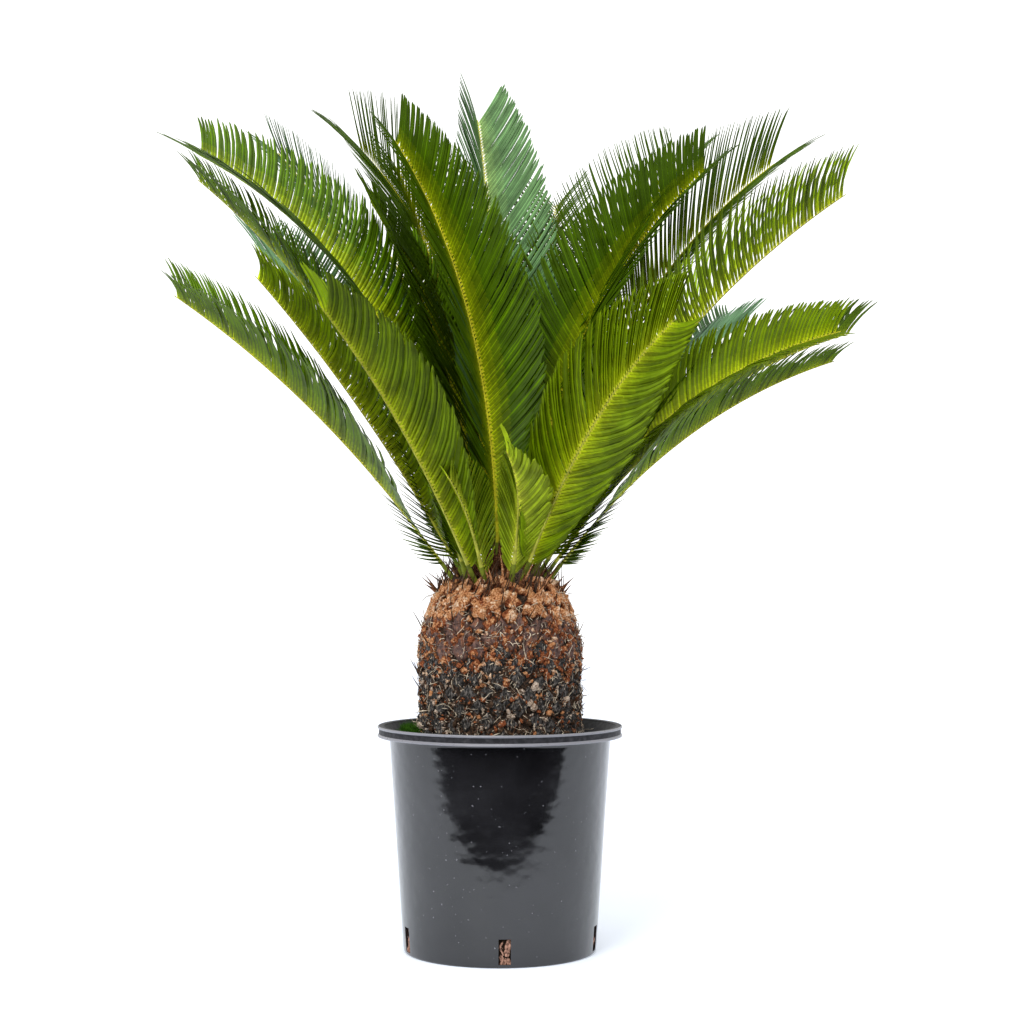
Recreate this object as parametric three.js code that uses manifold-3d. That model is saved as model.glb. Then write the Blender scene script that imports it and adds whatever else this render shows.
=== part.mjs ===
// A sago palm in a nursery pot: pot, soil, moss, a scaly trunk and a crown of feather fronds.
// Millimetres, +Z up. The origin is the middle of the pot's flat underside, and -Y is the front.
import * as THREE from "three";
import { mergeVertices } from "three/addons/utils/BufferGeometryUtils.js";
import Module from "manifold-3d";

const wasm = await Module();
wasm.setup();

// Touching pieces keep this much air between them.
const GAP = 0.3;

// Pot: a moulded nursery pot with a rolled rim and slots round its foot.
const POT_HEIGHT = 247;
const RIM_RADIUS = 135;
const RIM_HEIGHT = 12;
const RIM_BEAD = 1;
const MOUTH_RADIUS = 128;
const WALL_TOP_RADIUS = 122;
const FOOT_RADIUS = 106;
const FOOT_BEVEL = 3;
const WALL = 3;
const POT_SIDES = 48;
const SLOTS = 5;
const SLOT_WIDTH = 13;
const SLOT_HEIGHT = 27;
const SLOT_SILL = 4;
const SLOT_TURN = 3;

// Soil: it fills the pot to just under the rim. Moss grows on it at the front left.
const SOIL_TOP = 234;
const SOIL_EDGE_DROP = 3;
const MOSS_HEIGHT = 5;
const MOSS_INNER = 98;
const MOSS_OUTER = 116;
const MOSS_FROM = -95;
const MOSS_TO = 25;
const MOSS_STEP = 8;
const MOSS_TAPER = 0.25;
const MOSS_SECTION = [[0, 0], [1, 0], [0.75, 0.8], [0.3, 1]];

// Trunk: a squat barrel of old leaf bases that ends in a dome, which carries the fronds.
const TRUNK_PROFILE = [
  [234.3, 90],
  [262, 88],
  [300, 87.5],
  [332, 89],
  [352, 85],
  [372, 79],
  [388, 73],
  [396.7, 66],
];
const SCALES_ROUND = 24;
const SCALE_ROWS = 17;
const SCALE_RELIEF = 4;
const DOME_RADIUS = 87;
const DOME_CENTRE = 340;
const DOME_RINGS = [57, 47, 37, 27, 17, 8];

// Frond: a rib with a row of blades on each side, raised into a shallow V.
const RIB_STEPS = 20;
const RIB_WIDTH = [4.2, 1.1];
const RIB_DEPTH = [3.6, 1.1];
const BLADE_THICKNESS = 1.4;
const BARE_STEPS = 1;
const BLADE_LENGTH = 0.24;
const FOOT_BLADE = 0.22;
const GROWTH_FROM = 0.03;
const GROWTH_TO = 0.45;
const FADE_FROM = 0.5;
const FADE_CURVE = 1.6;
const TIP_BLADE = 0.5;
const TIP_LEAN = 0.8;
const CURVE = 1.3;
const ROLL_CURVE = 0.5;
const FOOT_SPACING = 11;
const CROWDING_ROUNDS = 60;
const BLADE_AIR = 0.5;
const BLADE_SIZES = [1, 0.85, 0.7, 0.5, 0.35];
const BLADE_LIFTS = [0, 8, -8, 16, -16, 24, -24];

// Each frond: turn is where it points (0 is the front, 90 the right side), rise and tipRise are
// its slope at the foot and at the tip, drift is how far it swings round on the way, length is
// its rib, blade is its blades' size, lean is their slant to the rib at the foot, vee is how far
// they are raised, roll is how far its face is turned about the rib at the tip, and foot is how
// far its foot is from the axis.
const FRONDS = [
  { turn: -72, rise: 53, tipRise: 33, drift: 0, length: 431, blade: 1.11, lean: 64, vee: 28, roll: -21 },
  { turn: -66, rise: 58, tipRise: 48, drift: -12, length: 393, blade: 1.15, lean: 66, vee: 28, roll: -13 },
  { turn: -96, rise: 76, tipRise: 28, drift: -6, length: 586, blade: 0.96, lean: 64, vee: 24, roll: -24 },
  { turn: -83, rise: 67, tipRise: 39, drift: 2, length: 523, blade: 0.96, lean: 62, vee: 18, roll: -15 },
  { turn: -135, rise: 67, tipRise: 38, drift: -3, length: 645, blade: 0.7, lean: 64, vee: 68, roll: -52 },
  { turn: -149, rise: 79, tipRise: 33, drift: 7, length: 615, blade: 1.1, lean: 57, vee: 62, roll: -38 },
  { turn: -123, rise: 80, tipRise: 57, drift: 16, length: 443, blade: 1.03, lean: 53, vee: 15, roll: 6 },
  { turn: -127, rise: 88, tipRise: 57, drift: 20, length: 505, blade: 0.94, lean: 51, vee: 52, roll: -50 },
  { turn: -177, rise: 76, tipRise: 61, drift: 12, length: 580, blade: 0.97, lean: 42, vee: 36, roll: 18 },
  { turn: 125, rise: 76, tipRise: 41, drift: -15, length: 540, blade: 0.85, lean: 59, vee: 50, roll: 43 },
  { turn: 138, rise: 73, tipRise: 32, drift: 10, length: 615, blade: 0.95, lean: 60, vee: 49, roll: 16 },
  { turn: 128, rise: 67, tipRise: 35, drift: -10, length: 625, blade: 1.06, lean: 44, vee: 50, roll: 48 },
  { turn: 68, rise: 62, tipRise: 31, drift: 1, length: 531, blade: 1.15, lean: 67, vee: 38, roll: 14 },
  { turn: 83, rise: 58, tipRise: 12, drift: -14, length: 432, blade: 0.76, lean: 60, vee: 34, roll: 55 },
  { turn: 84, rise: 53, tipRise: 17, drift: 0, length: 399, blade: 0.94, lean: 60, vee: 22, roll: 2 },
  { turn: 28, rise: 52, tipRise: 25, drift: 3, length: 393, blade: 1.25, lean: 35, vee: -10, roll: -96 },
  { turn: -28, rise: 49, tipRise: 32, drift: -1, length: 400, blade: 1.13, lean: 36, vee: 43, roll: -25 },
  { turn: -17, rise: 54, tipRise: 36, drift: -10, length: 152, blade: 1.62, lean: 54, vee: 56, roll: 17, foot: 56 },
  { turn: 13, rise: 60, tipRise: 45, drift: -45, length: 168, blade: 1.6, lean: 36, vee: 18, roll: -58, foot: 56 },
  { turn: -44, rise: 68, tipRise: 56, drift: 0, length: 150, blade: 1, lean: 66, vee: 30, roll: 0, foot: 52 },
  { turn: 180, rise: 58, tipRise: 28, drift: 0, length: 520, blade: 1, lean: 66, vee: 40, roll: 0 },
  { turn: 156, rise: 64, tipRise: 36, drift: 0, length: 540, blade: 1, lean: 66, vee: 38, roll: 0 },
  { turn: -158, rise: 62, tipRise: 34, drift: 0, length: 530, blade: 1, lean: 66, vee: 38, roll: 0 },
  { turn: 130, rise: 56, tipRise: 24, drift: 0, length: 455, blade: 1, lean: 66, vee: 38, roll: 0 },
  { turn: -132, rise: 60, tipRise: 32, drift: 0, length: 540, blade: 1, lean: 66, vee: 40, roll: 0 },
  { turn: 104, rise: 54, tipRise: 16, drift: 0, length: 470, blade: 1, lean: 66, vee: 40, roll: 0 },
  { turn: 166, rise: 72, tipRise: 46, drift: 0, length: 520, blade: 1, lean: 66, vee: 36, roll: 0 },
  { turn: -150, rise: 76, tipRise: 50, drift: 0, length: 540, blade: 1, lean: 66, vee: 36, roll: 0 },
  { turn: 160, rise: 48, tipRise: 16, drift: 0, length: 460, blade: 1, lean: 66, vee: 40, roll: 0 },
  { turn: -170, rise: 50, tipRise: 20, drift: 0, length: 460, blade: 1, lean: 66, vee: 40, roll: 0 },
  { turn: -148, rise: 50, tipRise: 22, drift: 0, length: 470, blade: 1, lean: 66, vee: 40, roll: 0 },
];

const palm = new THREE.Group();

function addPiece(name, geometry, colour, roughness) {
  const material = new THREE.MeshStandardMaterial({ color: colour, roughness, metalness: 0 });
  const mesh = new THREE.Mesh(geometry, material);
  mesh.name = name;
  palm.add(mesh);
}

function radians(degrees) {
  return (degrees * Math.PI) / 180;
}

function mix(from, to, share) {
  return from + (to - from) * share;
}

// A turned piece about +Z from rows of [radius, height].
function turned(profile, sides) {
  const points = profile.map(([radius, height]) => new THREE.Vector2(radius, height));
  return new THREE.LatheGeometry(points, sides).rotateX(Math.PI / 2);
}

function toSolid(geometry) {
  const bare = geometry.clone();
  bare.deleteAttribute("normal");
  bare.deleteAttribute("uv");
  const merged = mergeVertices(bare, 1e-4);
  return new wasm.Manifold(
    new wasm.Mesh({
      numProp: 3,
      vertProperties: new Float32Array(merged.attributes.position.array),
      triVerts: new Uint32Array(merged.index.array),
    }),
  );
}

function fromSolid(solid) {
  const mesh = solid.getMesh();
  const geometry = new THREE.BufferGeometry();
  geometry.setAttribute("position", new THREE.BufferAttribute(mesh.vertProperties, 3));
  geometry.setIndex(new THREE.BufferAttribute(mesh.triVerts, 1));
  return geometry;
}

function fromTriangles(points, triangles) {
  const geometry = new THREE.BufferGeometry().setFromPoints(points);
  geometry.setIndex(triangles);
  return geometry;
}

// --- Pot ---------------------------------------------------------------------------------

function wallRadius(height) {
  return mix(FOOT_RADIUS, WALL_TOP_RADIUS, height / (POT_HEIGHT - RIM_HEIGHT));
}

function pot() {
  const rimFoot = POT_HEIGHT - RIM_HEIGHT;
  const shell = toSolid(
    turned(
      [
        [0, 0],
        [FOOT_RADIUS - FOOT_BEVEL, 0],
        [wallRadius(FOOT_BEVEL), FOOT_BEVEL],
        [WALL_TOP_RADIUS, rimFoot],
        [RIM_RADIUS - RIM_BEAD, rimFoot],
        [RIM_RADIUS, rimFoot + RIM_BEAD],
        [RIM_RADIUS - RIM_BEAD, rimFoot + 2 * RIM_BEAD],
        [RIM_RADIUS - RIM_BEAD, POT_HEIGHT - 2 * RIM_BEAD],
        [RIM_RADIUS, POT_HEIGHT - RIM_BEAD],
        [RIM_RADIUS - RIM_BEAD, POT_HEIGHT],
        [MOUTH_RADIUS, POT_HEIGHT],
        [WALL_TOP_RADIUS - WALL, rimFoot],
        [wallRadius(WALL) - WALL, WALL],
        [0, WALL],
      ],
      POT_SIDES,
    ),
  );
  let cut = shell;
  for (let slot = 0; slot < SLOTS; slot += 1) {
    const turn = radians(SLOT_TURN + (slot * 360) / SLOTS);
    const hole = new THREE.BoxGeometry(SLOT_WIDTH, 8 * WALL, SLOT_HEIGHT);
    hole.translate(0, -(FOOT_RADIUS - WALL / 2), SLOT_SILL + SLOT_HEIGHT / 2);
    hole.rotateZ(turn);
    cut = cut.subtract(toSolid(hole));
  }
  return fromSolid(cut);
}

// --- Soil and moss -----------------------------------------------------------------------

function soil() {
  const floor = WALL + GAP;
  const edge = SOIL_TOP - SOIL_EDGE_DROP;
  return turned(
    [
      [0, floor],
      [wallRadius(floor) - WALL - GAP, floor],
      [wallRadius(edge) - WALL - GAP, edge],
      [MOSS_INNER, SOIL_TOP],
      [0, SOIL_TOP],
    ],
    POT_SIDES,
  );
}

// A low cushion that tapers to nothing at both ends of its arc and lies on the sloping soil.
function moss() {
  const steps = Math.round((MOSS_TO - MOSS_FROM) / MOSS_STEP);
  const soilEdge = wallRadius(SOIL_TOP - SOIL_EDGE_DROP) - WALL - GAP;
  const slope = SOIL_EDGE_DROP / (soilEdge - MOSS_INNER);
  const points = [];
  const triangles = [];
  for (let step = 0; step <= steps; step += 1) {
    const share = step / steps;
    const turn = radians(mix(MOSS_FROM, MOSS_TO, share));
    const swell = mix(MOSS_TAPER, 1, Math.sin(Math.PI * share));
    const width = (MOSS_OUTER - MOSS_INNER) * swell;
    for (const [across, lift] of MOSS_SECTION) {
      const radius = MOSS_OUTER - width * (1 - across);
      const ground = SOIL_TOP + 2 * GAP - slope * (radius - MOSS_INNER);
      const height = ground + lift * MOSS_HEIGHT * swell;
      points.push(new THREE.Vector3(radius * Math.sin(turn), -radius * Math.cos(turn), height));
    }
  }
  const ring = MOSS_SECTION.length;
  for (let step = 0; step < steps; step += 1) {
    for (let corner = 0; corner < ring; corner += 1) {
      const a = step * ring + corner;
      const b = step * ring + ((corner + 1) % ring);
      triangles.push(a, b + ring, b, a, a + ring, b + ring);
    }
  }
  const last = steps * ring;
  triangles.push(0, 1, 2, 0, 2, 3);
  triangles.push(last, last + 2, last + 1, last, last + 3, last + 2);
  return fromTriangles(points, triangles);
}

// --- Trunk -------------------------------------------------------------------------------

function trunkRadius(height) {
  const rows = TRUNK_PROFILE;
  let row = 1;
  while (row < rows.length - 1 && rows[row][0] < height) row += 1;
  const [lowHeight, lowRadius] = rows[row - 1];
  const [highHeight, highRadius] = rows[row];
  return mix(lowRadius, highRadius, (height - lowHeight) / (highHeight - lowHeight));
}

function domeHeight(radius) {
  return DOME_CENTRE + Math.sqrt(DOME_RADIUS ** 2 - radius ** 2);
}

// Every other point of the grid stands out, so the skin is tiled with four-sided leaf bases.
function trunk() {
  const columns = 2 * SCALES_ROUND;
  const bottom = TRUNK_PROFILE[0][0];
  const top = TRUNK_PROFILE[TRUNK_PROFILE.length - 1][0];
  const rings = [];
  for (let row = 0; row < SCALE_ROWS; row += 1) {
    const height = mix(bottom, top, row / (SCALE_ROWS - 1));
    const plain = row === 0 || row === SCALE_ROWS - 1;
    const relief = plain ? 0 : SCALE_RELIEF;
    rings.push({ radius: trunkRadius(height), height, relief });
  }
  for (const radius of DOME_RINGS) rings.push({ radius, height: domeHeight(radius), relief: 0 });

  const points = [];
  for (const [row, ring] of rings.entries()) {
    for (let column = 0; column < columns; column += 1) {
      const turn = (column / columns) * 2 * Math.PI;
      const raised = (row + column) % 2 === 0;
      const radius = ring.radius + (raised ? ring.relief : 0);
      points.push(new THREE.Vector3(radius * Math.cos(turn), radius * Math.sin(turn), ring.height));
    }
  }
  const triangles = [];
  for (let row = 0; row < rings.length - 1; row += 1) {
    for (let column = 0; column < columns; column += 1) {
      const next = (column + 1) % columns;
      const a = row * columns + column;
      const b = row * columns + next;
      const c = b + columns;
      const d = a + columns;
      if ((row + column) % 2 === 0) triangles.push(a, b, d, b, c, d);
      else triangles.push(a, b, c, a, c, d);
    }
  }
  const foot = points.push(new THREE.Vector3(0, 0, bottom)) - 1;
  const crown = points.push(new THREE.Vector3(0, 0, domeHeight(0))) - 1;
  const lastRing = (rings.length - 1) * columns;
  for (let column = 0; column < columns; column += 1) {
    const next = (column + 1) % columns;
    triangles.push(foot, next, column);
    triangles.push(crown, lastRing + column, lastRing + next);
  }
  return fromTriangles(points, triangles);
}

// --- Fronds ------------------------------------------------------------------------------

// Feet start under their own fronds and crowd each other apart over the dome.
function placeFeet() {
  const feet = FRONDS.map((frond) => {
    const radius = frond.foot ?? DOME_RADIUS * Math.cos(radians(frond.rise));
    const turn = radians(frond.turn);
    return new THREE.Vector2(radius * Math.sin(turn), -radius * Math.cos(turn));
  });
  for (let round = 0; round < CROWDING_ROUNDS; round += 1) {
    for (let one = 0; one < feet.length; one += 1) {
      for (let other = 0; other < one; other += 1) {
        const apart = feet[one].clone().sub(feet[other]);
        const short = FOOT_SPACING - apart.length();
        if (short <= 0) continue;
        apart.setLength(short / 2);
        feet[one].add(apart);
        feet[other].sub(apart);
      }
    }
  }
  return feet;
}

// The frond's directions a share of the way up its rib: along it, across it, and out of its face.
function frondAxes(frond, share) {
  const rise = radians(mix(frond.rise, frond.tipRise, share ** CURVE));
  const turn = radians(frond.turn + frond.drift * share * share);
  const out = new THREE.Vector3(Math.sin(turn), -Math.cos(turn), 0);
  const along = out.clone().multiplyScalar(Math.cos(rise));
  along.z = Math.sin(rise);
  const face = out.clone().multiplyScalar(-Math.sin(rise));
  face.z = Math.cos(rise);
  face.applyAxisAngle(along, radians(frond.roll) * share ** ROLL_CURVE);
  const across = along.clone().cross(face);
  return { along, face, across };
}

// The rib's six-sided outline, as offsets from its middle: keel, one side, ridge, other side.
function ribSection(axes, share) {
  const width = mix(...RIB_WIDTH, share);
  const depth = mix(...RIB_DEPTH, share);
  const half = BLADE_THICKNESS / 2;
  const outline = [[0, -depth], [width, -half], [width, half], [0, depth], [-width, half], [-width, -half]];
  return outline.map(([across, height]) =>
    axes.across.clone().multiplyScalar(across).addScaledVector(axes.face, height),
  );
}

// A rib starts where its lowest corner clears the dome, and curves away step by step.
function ribPoints(frond, foot) {
  const onDome = new THREE.Vector3(foot.x, foot.y, domeHeight(foot.length()));
  const normal = onDome.clone().setZ(onDome.z - DOME_CENTRE).normalize();
  const corners = ribSection(frondAxes(frond, 0), 0);
  const clear = GAP + Math.max(...corners.map((corner) => -corner.dot(normal)));
  const points = [onDome.addScaledVector(normal, clear)];
  const fine = 4;
  const stride = frond.length / (RIB_STEPS * fine);
  for (let step = 0; step < RIB_STEPS; step += 1) {
    const point = points[step].clone();
    for (let part = 0; part < fine; part += 1) {
      const share = (step + (part + 0.5) / fine) / RIB_STEPS;
      point.addScaledVector(frondAxes(frond, share).along, stride);
    }
    points.push(point);
  }
  return points;
}

// Blades are short at the foot, longest at the middle and half as long at the tip.
function bladeLength(frond, share) {
  const growth = THREE.MathUtils.clamp((share - GROWTH_FROM) / (GROWTH_TO - GROWTH_FROM), 0, 1);
  const fading = Math.max(0, (share - FADE_FROM) / (1 - FADE_FROM)) ** FADE_CURVE;
  const grown = mix(FOOT_BLADE, 1, Math.sin((growth * Math.PI) / 2));
  return BLADE_LENGTH * frond.length * frond.blade * grown * mix(1, TIP_BLADE, fading);
}

function bladeDirection(frond, axes, share, side, lift) {
  const lean = radians(frond.lean * mix(1, TIP_LEAN, share));
  const vee = radians(frond.vee + lift);
  const sideways = axes.across.clone().multiplyScalar(side * Math.cos(vee));
  sideways.addScaledVector(axes.face, Math.sin(vee));
  return axes.along.clone().multiplyScalar(Math.cos(lean)).addScaledVector(sideways, Math.sin(lean));
}

// A convex block, for the test of what would touch: its corners, face normals and edges.
function block(corners, normals, edges) {
  const centre = new THREE.Vector3();
  for (const corner of corners) centre.addScaledVector(corner, 1 / corners.length);
  const reach = Math.max(...corners.map((corner) => corner.distanceTo(centre)));
  return { corners, normals, edges, centre, reach };
}

function span(corners, axis) {
  const marks = corners.map((corner) => corner.dot(axis));
  return [Math.min(...marks), Math.max(...marks)];
}

function apartAlong(one, other, axis, air) {
  const [lowOne, highOne] = span(one.corners, axis);
  const [lowOther, highOther] = span(other.corners, axis);
  return lowOne - highOther > air || lowOther - highOne > air;
}

function clearOf(one, other, air) {
  if (one.centre.distanceTo(other.centre) > one.reach + other.reach + air) return true;
  for (const axis of [...one.normals, ...other.normals]) {
    if (apartAlong(one, other, axis, air)) return true;
  }
  for (const edge of one.edges) {
    for (const otherEdge of other.edges) {
      const axis = edge.clone().cross(otherEdge);
      if (axis.length() < 1e-6) continue;
      if (apartAlong(one, other, axis.normalize(), air)) return true;
    }
  }
  return false;
}

function ribBlock(frond, points, step) {
  const share = (step + 0.5) / RIB_STEPS;
  const axes = frondAxes(frond, share);
  const corners = [];
  for (const end of [step, step + 1]) {
    const width = mix(...RIB_WIDTH, end / RIB_STEPS);
    const depth = mix(...RIB_DEPTH, end / RIB_STEPS);
    for (const [across, face] of [[-1, -1], [1, -1], [1, 1], [-1, 1]]) {
      const corner = points[end].clone().addScaledVector(axes.across, across * width);
      corners.push(corner.addScaledVector(axes.face, face * depth));
    }
  }
  const directions = [axes.along, axes.face, axes.across];
  return block(corners, directions, directions);
}

// One blade between two ribs' steps: its root on the rib's side and its tip edge.
function makeBlade(frond, points, step, side, size, lift) {
  const share = (step + 0.5) / RIB_STEPS;
  const axes = frondAxes(frond, share);
  const direction = bladeDirection(frond, axes, share, side, lift);
  const flat = direction.clone().cross(axes.along).normalize().multiplyScalar(side);
  const half = flat.clone().multiplyScalar(BLADE_THICKNESS / 2);
  const tip = points[step].clone().lerp(points[step + 1], 0.5);
  tip.addScaledVector(direction, size * bladeLength(frond, share));
  const roots = [step, step + 1].map((end) => {
    const width = mix(...RIB_WIDTH, end / RIB_STEPS);
    return points[end].clone().addScaledVector(axes.across, side * width);
  });
  const corners = [];
  for (const point of [...roots, tip]) corners.push(point.clone().add(half), point.clone().sub(half));
  const back = tip.clone().sub(roots[0]).normalize();
  const front = tip.clone().sub(roots[1]).normalize();
  const normals = [flat, back.clone().cross(flat), front.clone().cross(flat), axes.across];
  const shape = block(corners, normals, [axes.along, back, front, flat]);
  return { tipTop: tip.clone().add(half), tipUnder: tip.clone().sub(half), shape };
}

// Blades are set rank by rank over the whole crown. One that would touch another frond's rib
// or blade is raised, lowered or shortened until it is clear, and left out if it never is.
function setBlades(ribs) {
  const ribShapes = ribs.map((points, index) =>
    points.slice(1).map((_, step) => ribBlock(FRONDS[index], points, step)),
  );
  const bladeShapes = ribs.map(() => []);
  const blades = ribs.map(() => new Map());
  const choices = BLADE_SIZES.flatMap((size) => BLADE_LIFTS.map((lift) => [size, lift]));
  const fits = (shape, index) =>
    ribs.every(
      (_, other) =>
        other === index ||
        (ribShapes[other].every((rib) => clearOf(shape, rib, BLADE_AIR)) &&
          bladeShapes[other].every((blade) => clearOf(shape, blade, BLADE_AIR))),
    );
  for (let step = RIB_STEPS - 1; step >= BARE_STEPS; step -= 1) {
    for (const [index, points] of ribs.entries()) {
      for (const side of [-1, 1]) {
        const grow = (size, lift) => makeBlade(FRONDS[index], points, step, side, size, lift);
        const made = choices.values().map(([size, lift]) => grow(size, lift));
        const blade = made.find((one) => fits(one.shape, index));
        if (!blade) continue;
        blades[index].set(step * side, blade);
        bladeShapes[index].push(blade.shape);
      }
    }
  }
  return blades;
}

// A tube of rib outlines. Where a blade stands, its faces take the place of the tube's side.
function frond(row, points, blades) {
  const corners = [];
  const triangles = [];
  for (const [step, point] of points.entries()) {
    const share = step / RIB_STEPS;
    const section = ribSection(frondAxes(row, share), share);
    corners.push(...section.map((offset) => offset.add(point)));
  }
  const ring = corners.length / points.length;
  const quad = (a, b, c, d) => triangles.push(a, b, c, a, c, d);
  for (let step = 0; step < RIB_STEPS; step += 1) {
    const from = step * ring;
    const to = from + ring;
    for (const corner of [0, 2, 3, 5]) {
      const next = (corner + 1) % ring;
      quad(from + corner, to + corner, to + next, from + next);
    }
    for (const [side, under, upper] of [[1, 1, 2], [-1, 5, 4]]) {
      const blade = blades.get(step * side);
      const face = side > 0 ? quad : (a, b, c, d) => quad(d, c, b, a);
      if (!blade) {
        face(from + under, to + under, to + upper, from + upper);
        continue;
      }
      const tipTop = corners.push(blade.tipTop) - 1;
      const tipUnder = corners.push(blade.tipUnder) - 1;
      face(from + under, tipUnder, tipTop, from + upper);
      face(tipUnder, to + under, to + upper, tipTop);
      const turn = side > 0 ? [0, 1, 2] : [2, 1, 0];
      const topFace = [from + upper, tipTop, to + upper];
      const underFace = [to + under, tipUnder, from + under];
      triangles.push(...turn.map((corner) => topFace[corner]));
      triangles.push(...turn.map((corner) => underFace[corner]));
    }
  }
  const last = RIB_STEPS * ring;
  for (let corner = 1; corner < ring - 1; corner += 1) {
    triangles.push(0, corner, corner + 1);
    triangles.push(last, last + corner + 1, last + corner);
  }
  return fromTriangles(corners, triangles);
}

// --- The plant in its pot ----------------------------------------------------------------

addPiece("pot", pot(), 0x1e2024, 0.25);
addPiece("soil", soil(), 0x2a1e16, 0.95);
addPiece("moss", moss(), 0x2f4a17, 0.95);
addPiece("trunk", trunk(), 0x5b4334, 0.9);

const feet = placeFeet();
const ribs = FRONDS.map((row, index) => ribPoints(row, feet[index]));
const blades = setBlades(ribs);
for (const [index, row] of FRONDS.entries()) {
  const number = String(index + 1).padStart(2, "0");
  addPiece(`frond_${number}`, frond(row, ribs[index], blades[index]), 0x3f6b1a, 0.5);
}

export default palm;
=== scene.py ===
import math
from collections import namedtuple

import bpy
import numpy as np
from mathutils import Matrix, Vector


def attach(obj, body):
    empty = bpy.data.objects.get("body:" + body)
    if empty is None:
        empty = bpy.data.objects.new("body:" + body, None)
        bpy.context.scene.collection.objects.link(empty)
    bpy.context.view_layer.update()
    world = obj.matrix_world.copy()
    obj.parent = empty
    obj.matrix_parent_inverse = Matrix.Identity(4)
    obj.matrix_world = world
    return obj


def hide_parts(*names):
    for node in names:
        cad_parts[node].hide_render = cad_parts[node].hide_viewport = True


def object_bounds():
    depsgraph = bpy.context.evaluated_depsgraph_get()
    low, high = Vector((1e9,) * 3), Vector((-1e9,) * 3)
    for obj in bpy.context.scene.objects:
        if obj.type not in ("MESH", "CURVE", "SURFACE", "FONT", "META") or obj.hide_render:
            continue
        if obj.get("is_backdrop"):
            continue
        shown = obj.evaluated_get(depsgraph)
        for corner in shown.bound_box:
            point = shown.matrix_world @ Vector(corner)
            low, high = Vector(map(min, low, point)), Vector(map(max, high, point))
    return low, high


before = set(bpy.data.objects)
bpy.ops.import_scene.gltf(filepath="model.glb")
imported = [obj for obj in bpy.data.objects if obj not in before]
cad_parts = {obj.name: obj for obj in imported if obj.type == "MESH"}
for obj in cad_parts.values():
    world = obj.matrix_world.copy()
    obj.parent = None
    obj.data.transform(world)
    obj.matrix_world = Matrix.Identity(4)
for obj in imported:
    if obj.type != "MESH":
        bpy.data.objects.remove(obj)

cad_low, cad_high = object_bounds()

# --- Studio ------------------------------------------------------------------------------
# A white table under an even white sky, seen level from in front. The table ends a short
# way before the pot, so the pot's glossy front mirrors the dark room beyond its edge.

CAMERA_PLACE = (0.0133, -2.25, 0.435)
CAMERA_PITCH = 1.2
CAMERA_LENS = 71.45
CAMERA_SENSOR = 36
TABLE_FRONT = -0.46
TABLE_BACK = 6.0
TABLE_SIDE = 6.0
TABLE_GLOW = 0.28
SKY_LIGHT = 1.05
SKY_SEEN = 1.4
HORIZON = -0.02
ROOM_LIGHT = 0.015
PLANT_MIDDLE = (0, 0, 0.6)
NOISE_BREAK_UP = 0.55

scene = bpy.context.scene
scene.view_settings.view_transform = "Standard"


class Wire:
    """A shader socket. Sums of wires add Math nodes, and node() adds any other node."""

    def __init__(self, tree, socket=None):
        self.tree = tree
        self.socket = socket

    def node(self, kind, settings=None, inputs=None, output=0):
        made = self.tree.nodes.new(kind)
        for name, value in (settings or {}).items():
            if name == "stops":
                ramp = made.color_ramp.elements
                while len(ramp) < len(value):
                    ramp.new(0.5)
                for stop, (place, colour) in zip(ramp, value):
                    stop.position = place
                    stop.color = (*colour, 1)
            else:
                setattr(made, name, value)
        for name, value in (inputs or {}).items():
            if isinstance(value, Wire):
                self.tree.links.new(value.socket, made.inputs[name])
            else:
                made.inputs[name].default_value = value
        return Wire(self.tree, made.outputs[output])

    def sum(self, operation, *values):
        return self.node("ShaderNodeMath", {"operation": operation}, dict(enumerate(values)))

    def __add__(self, other):
        return self.sum("ADD", self, other)

    def __mul__(self, other):
        return self.sum("MULTIPLY", self, other)

    __radd__ = __add__
    __rmul__ = __mul__


class Finish:
    """A material: its shader's plain values, and wires for what changes over the surface."""

    def __init__(self, name, colour, roughness, **values):
        self.material = bpy.data.materials.new(name)
        self.material.use_nodes = True
        tree = self.material.node_tree
        self.shader = tree.nodes["Principled BSDF"]
        self.wire = Wire(tree)
        self.place = self.wire.node("ShaderNodeTexCoord", output="Object")
        self.set("Base Color", (*colour, 1))
        self.set("Roughness", roughness)
        for socket, value in values.items():
            self.set(socket.replace("_", " ").title().replace("Ior", "IOR"), value)

    def set(self, socket, value):
        if isinstance(value, Wire):
            value.tree.links.new(value.socket, self.shader.inputs[socket])
        else:
            self.shader.inputs[socket].default_value = value

    def noise(self, scale, detail, stretch=(1, 1, 1)):
        sockets = {0: self.place, 1: stretch}
        vector = self.wire.node("ShaderNodeVectorMath", {"operation": "MULTIPLY"}, sockets)
        sockets = {"Vector": vector, "Scale": scale, "Detail": detail, "Roughness": NOISE_BREAK_UP}
        return self.wire.node("ShaderNodeTexNoise", None, sockets, "Fac")

    def ramp(self, factor, *stops):
        return self.wire.node("ShaderNodeValToRGB", {"stops": stops}, {"Fac": factor}, "Color")

    def paint(self, factor, *stops):
        """Base colour by a ramp of places and colours."""
        self.set("Base Color", self.ramp(factor, *stops))

    def bump(self, height, depth, strength=1.0):
        sockets = {"Height": height, "Distance": depth, "Strength": strength}
        self.set("Normal", self.wire.node("ShaderNodeBump", None, sockets))


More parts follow.
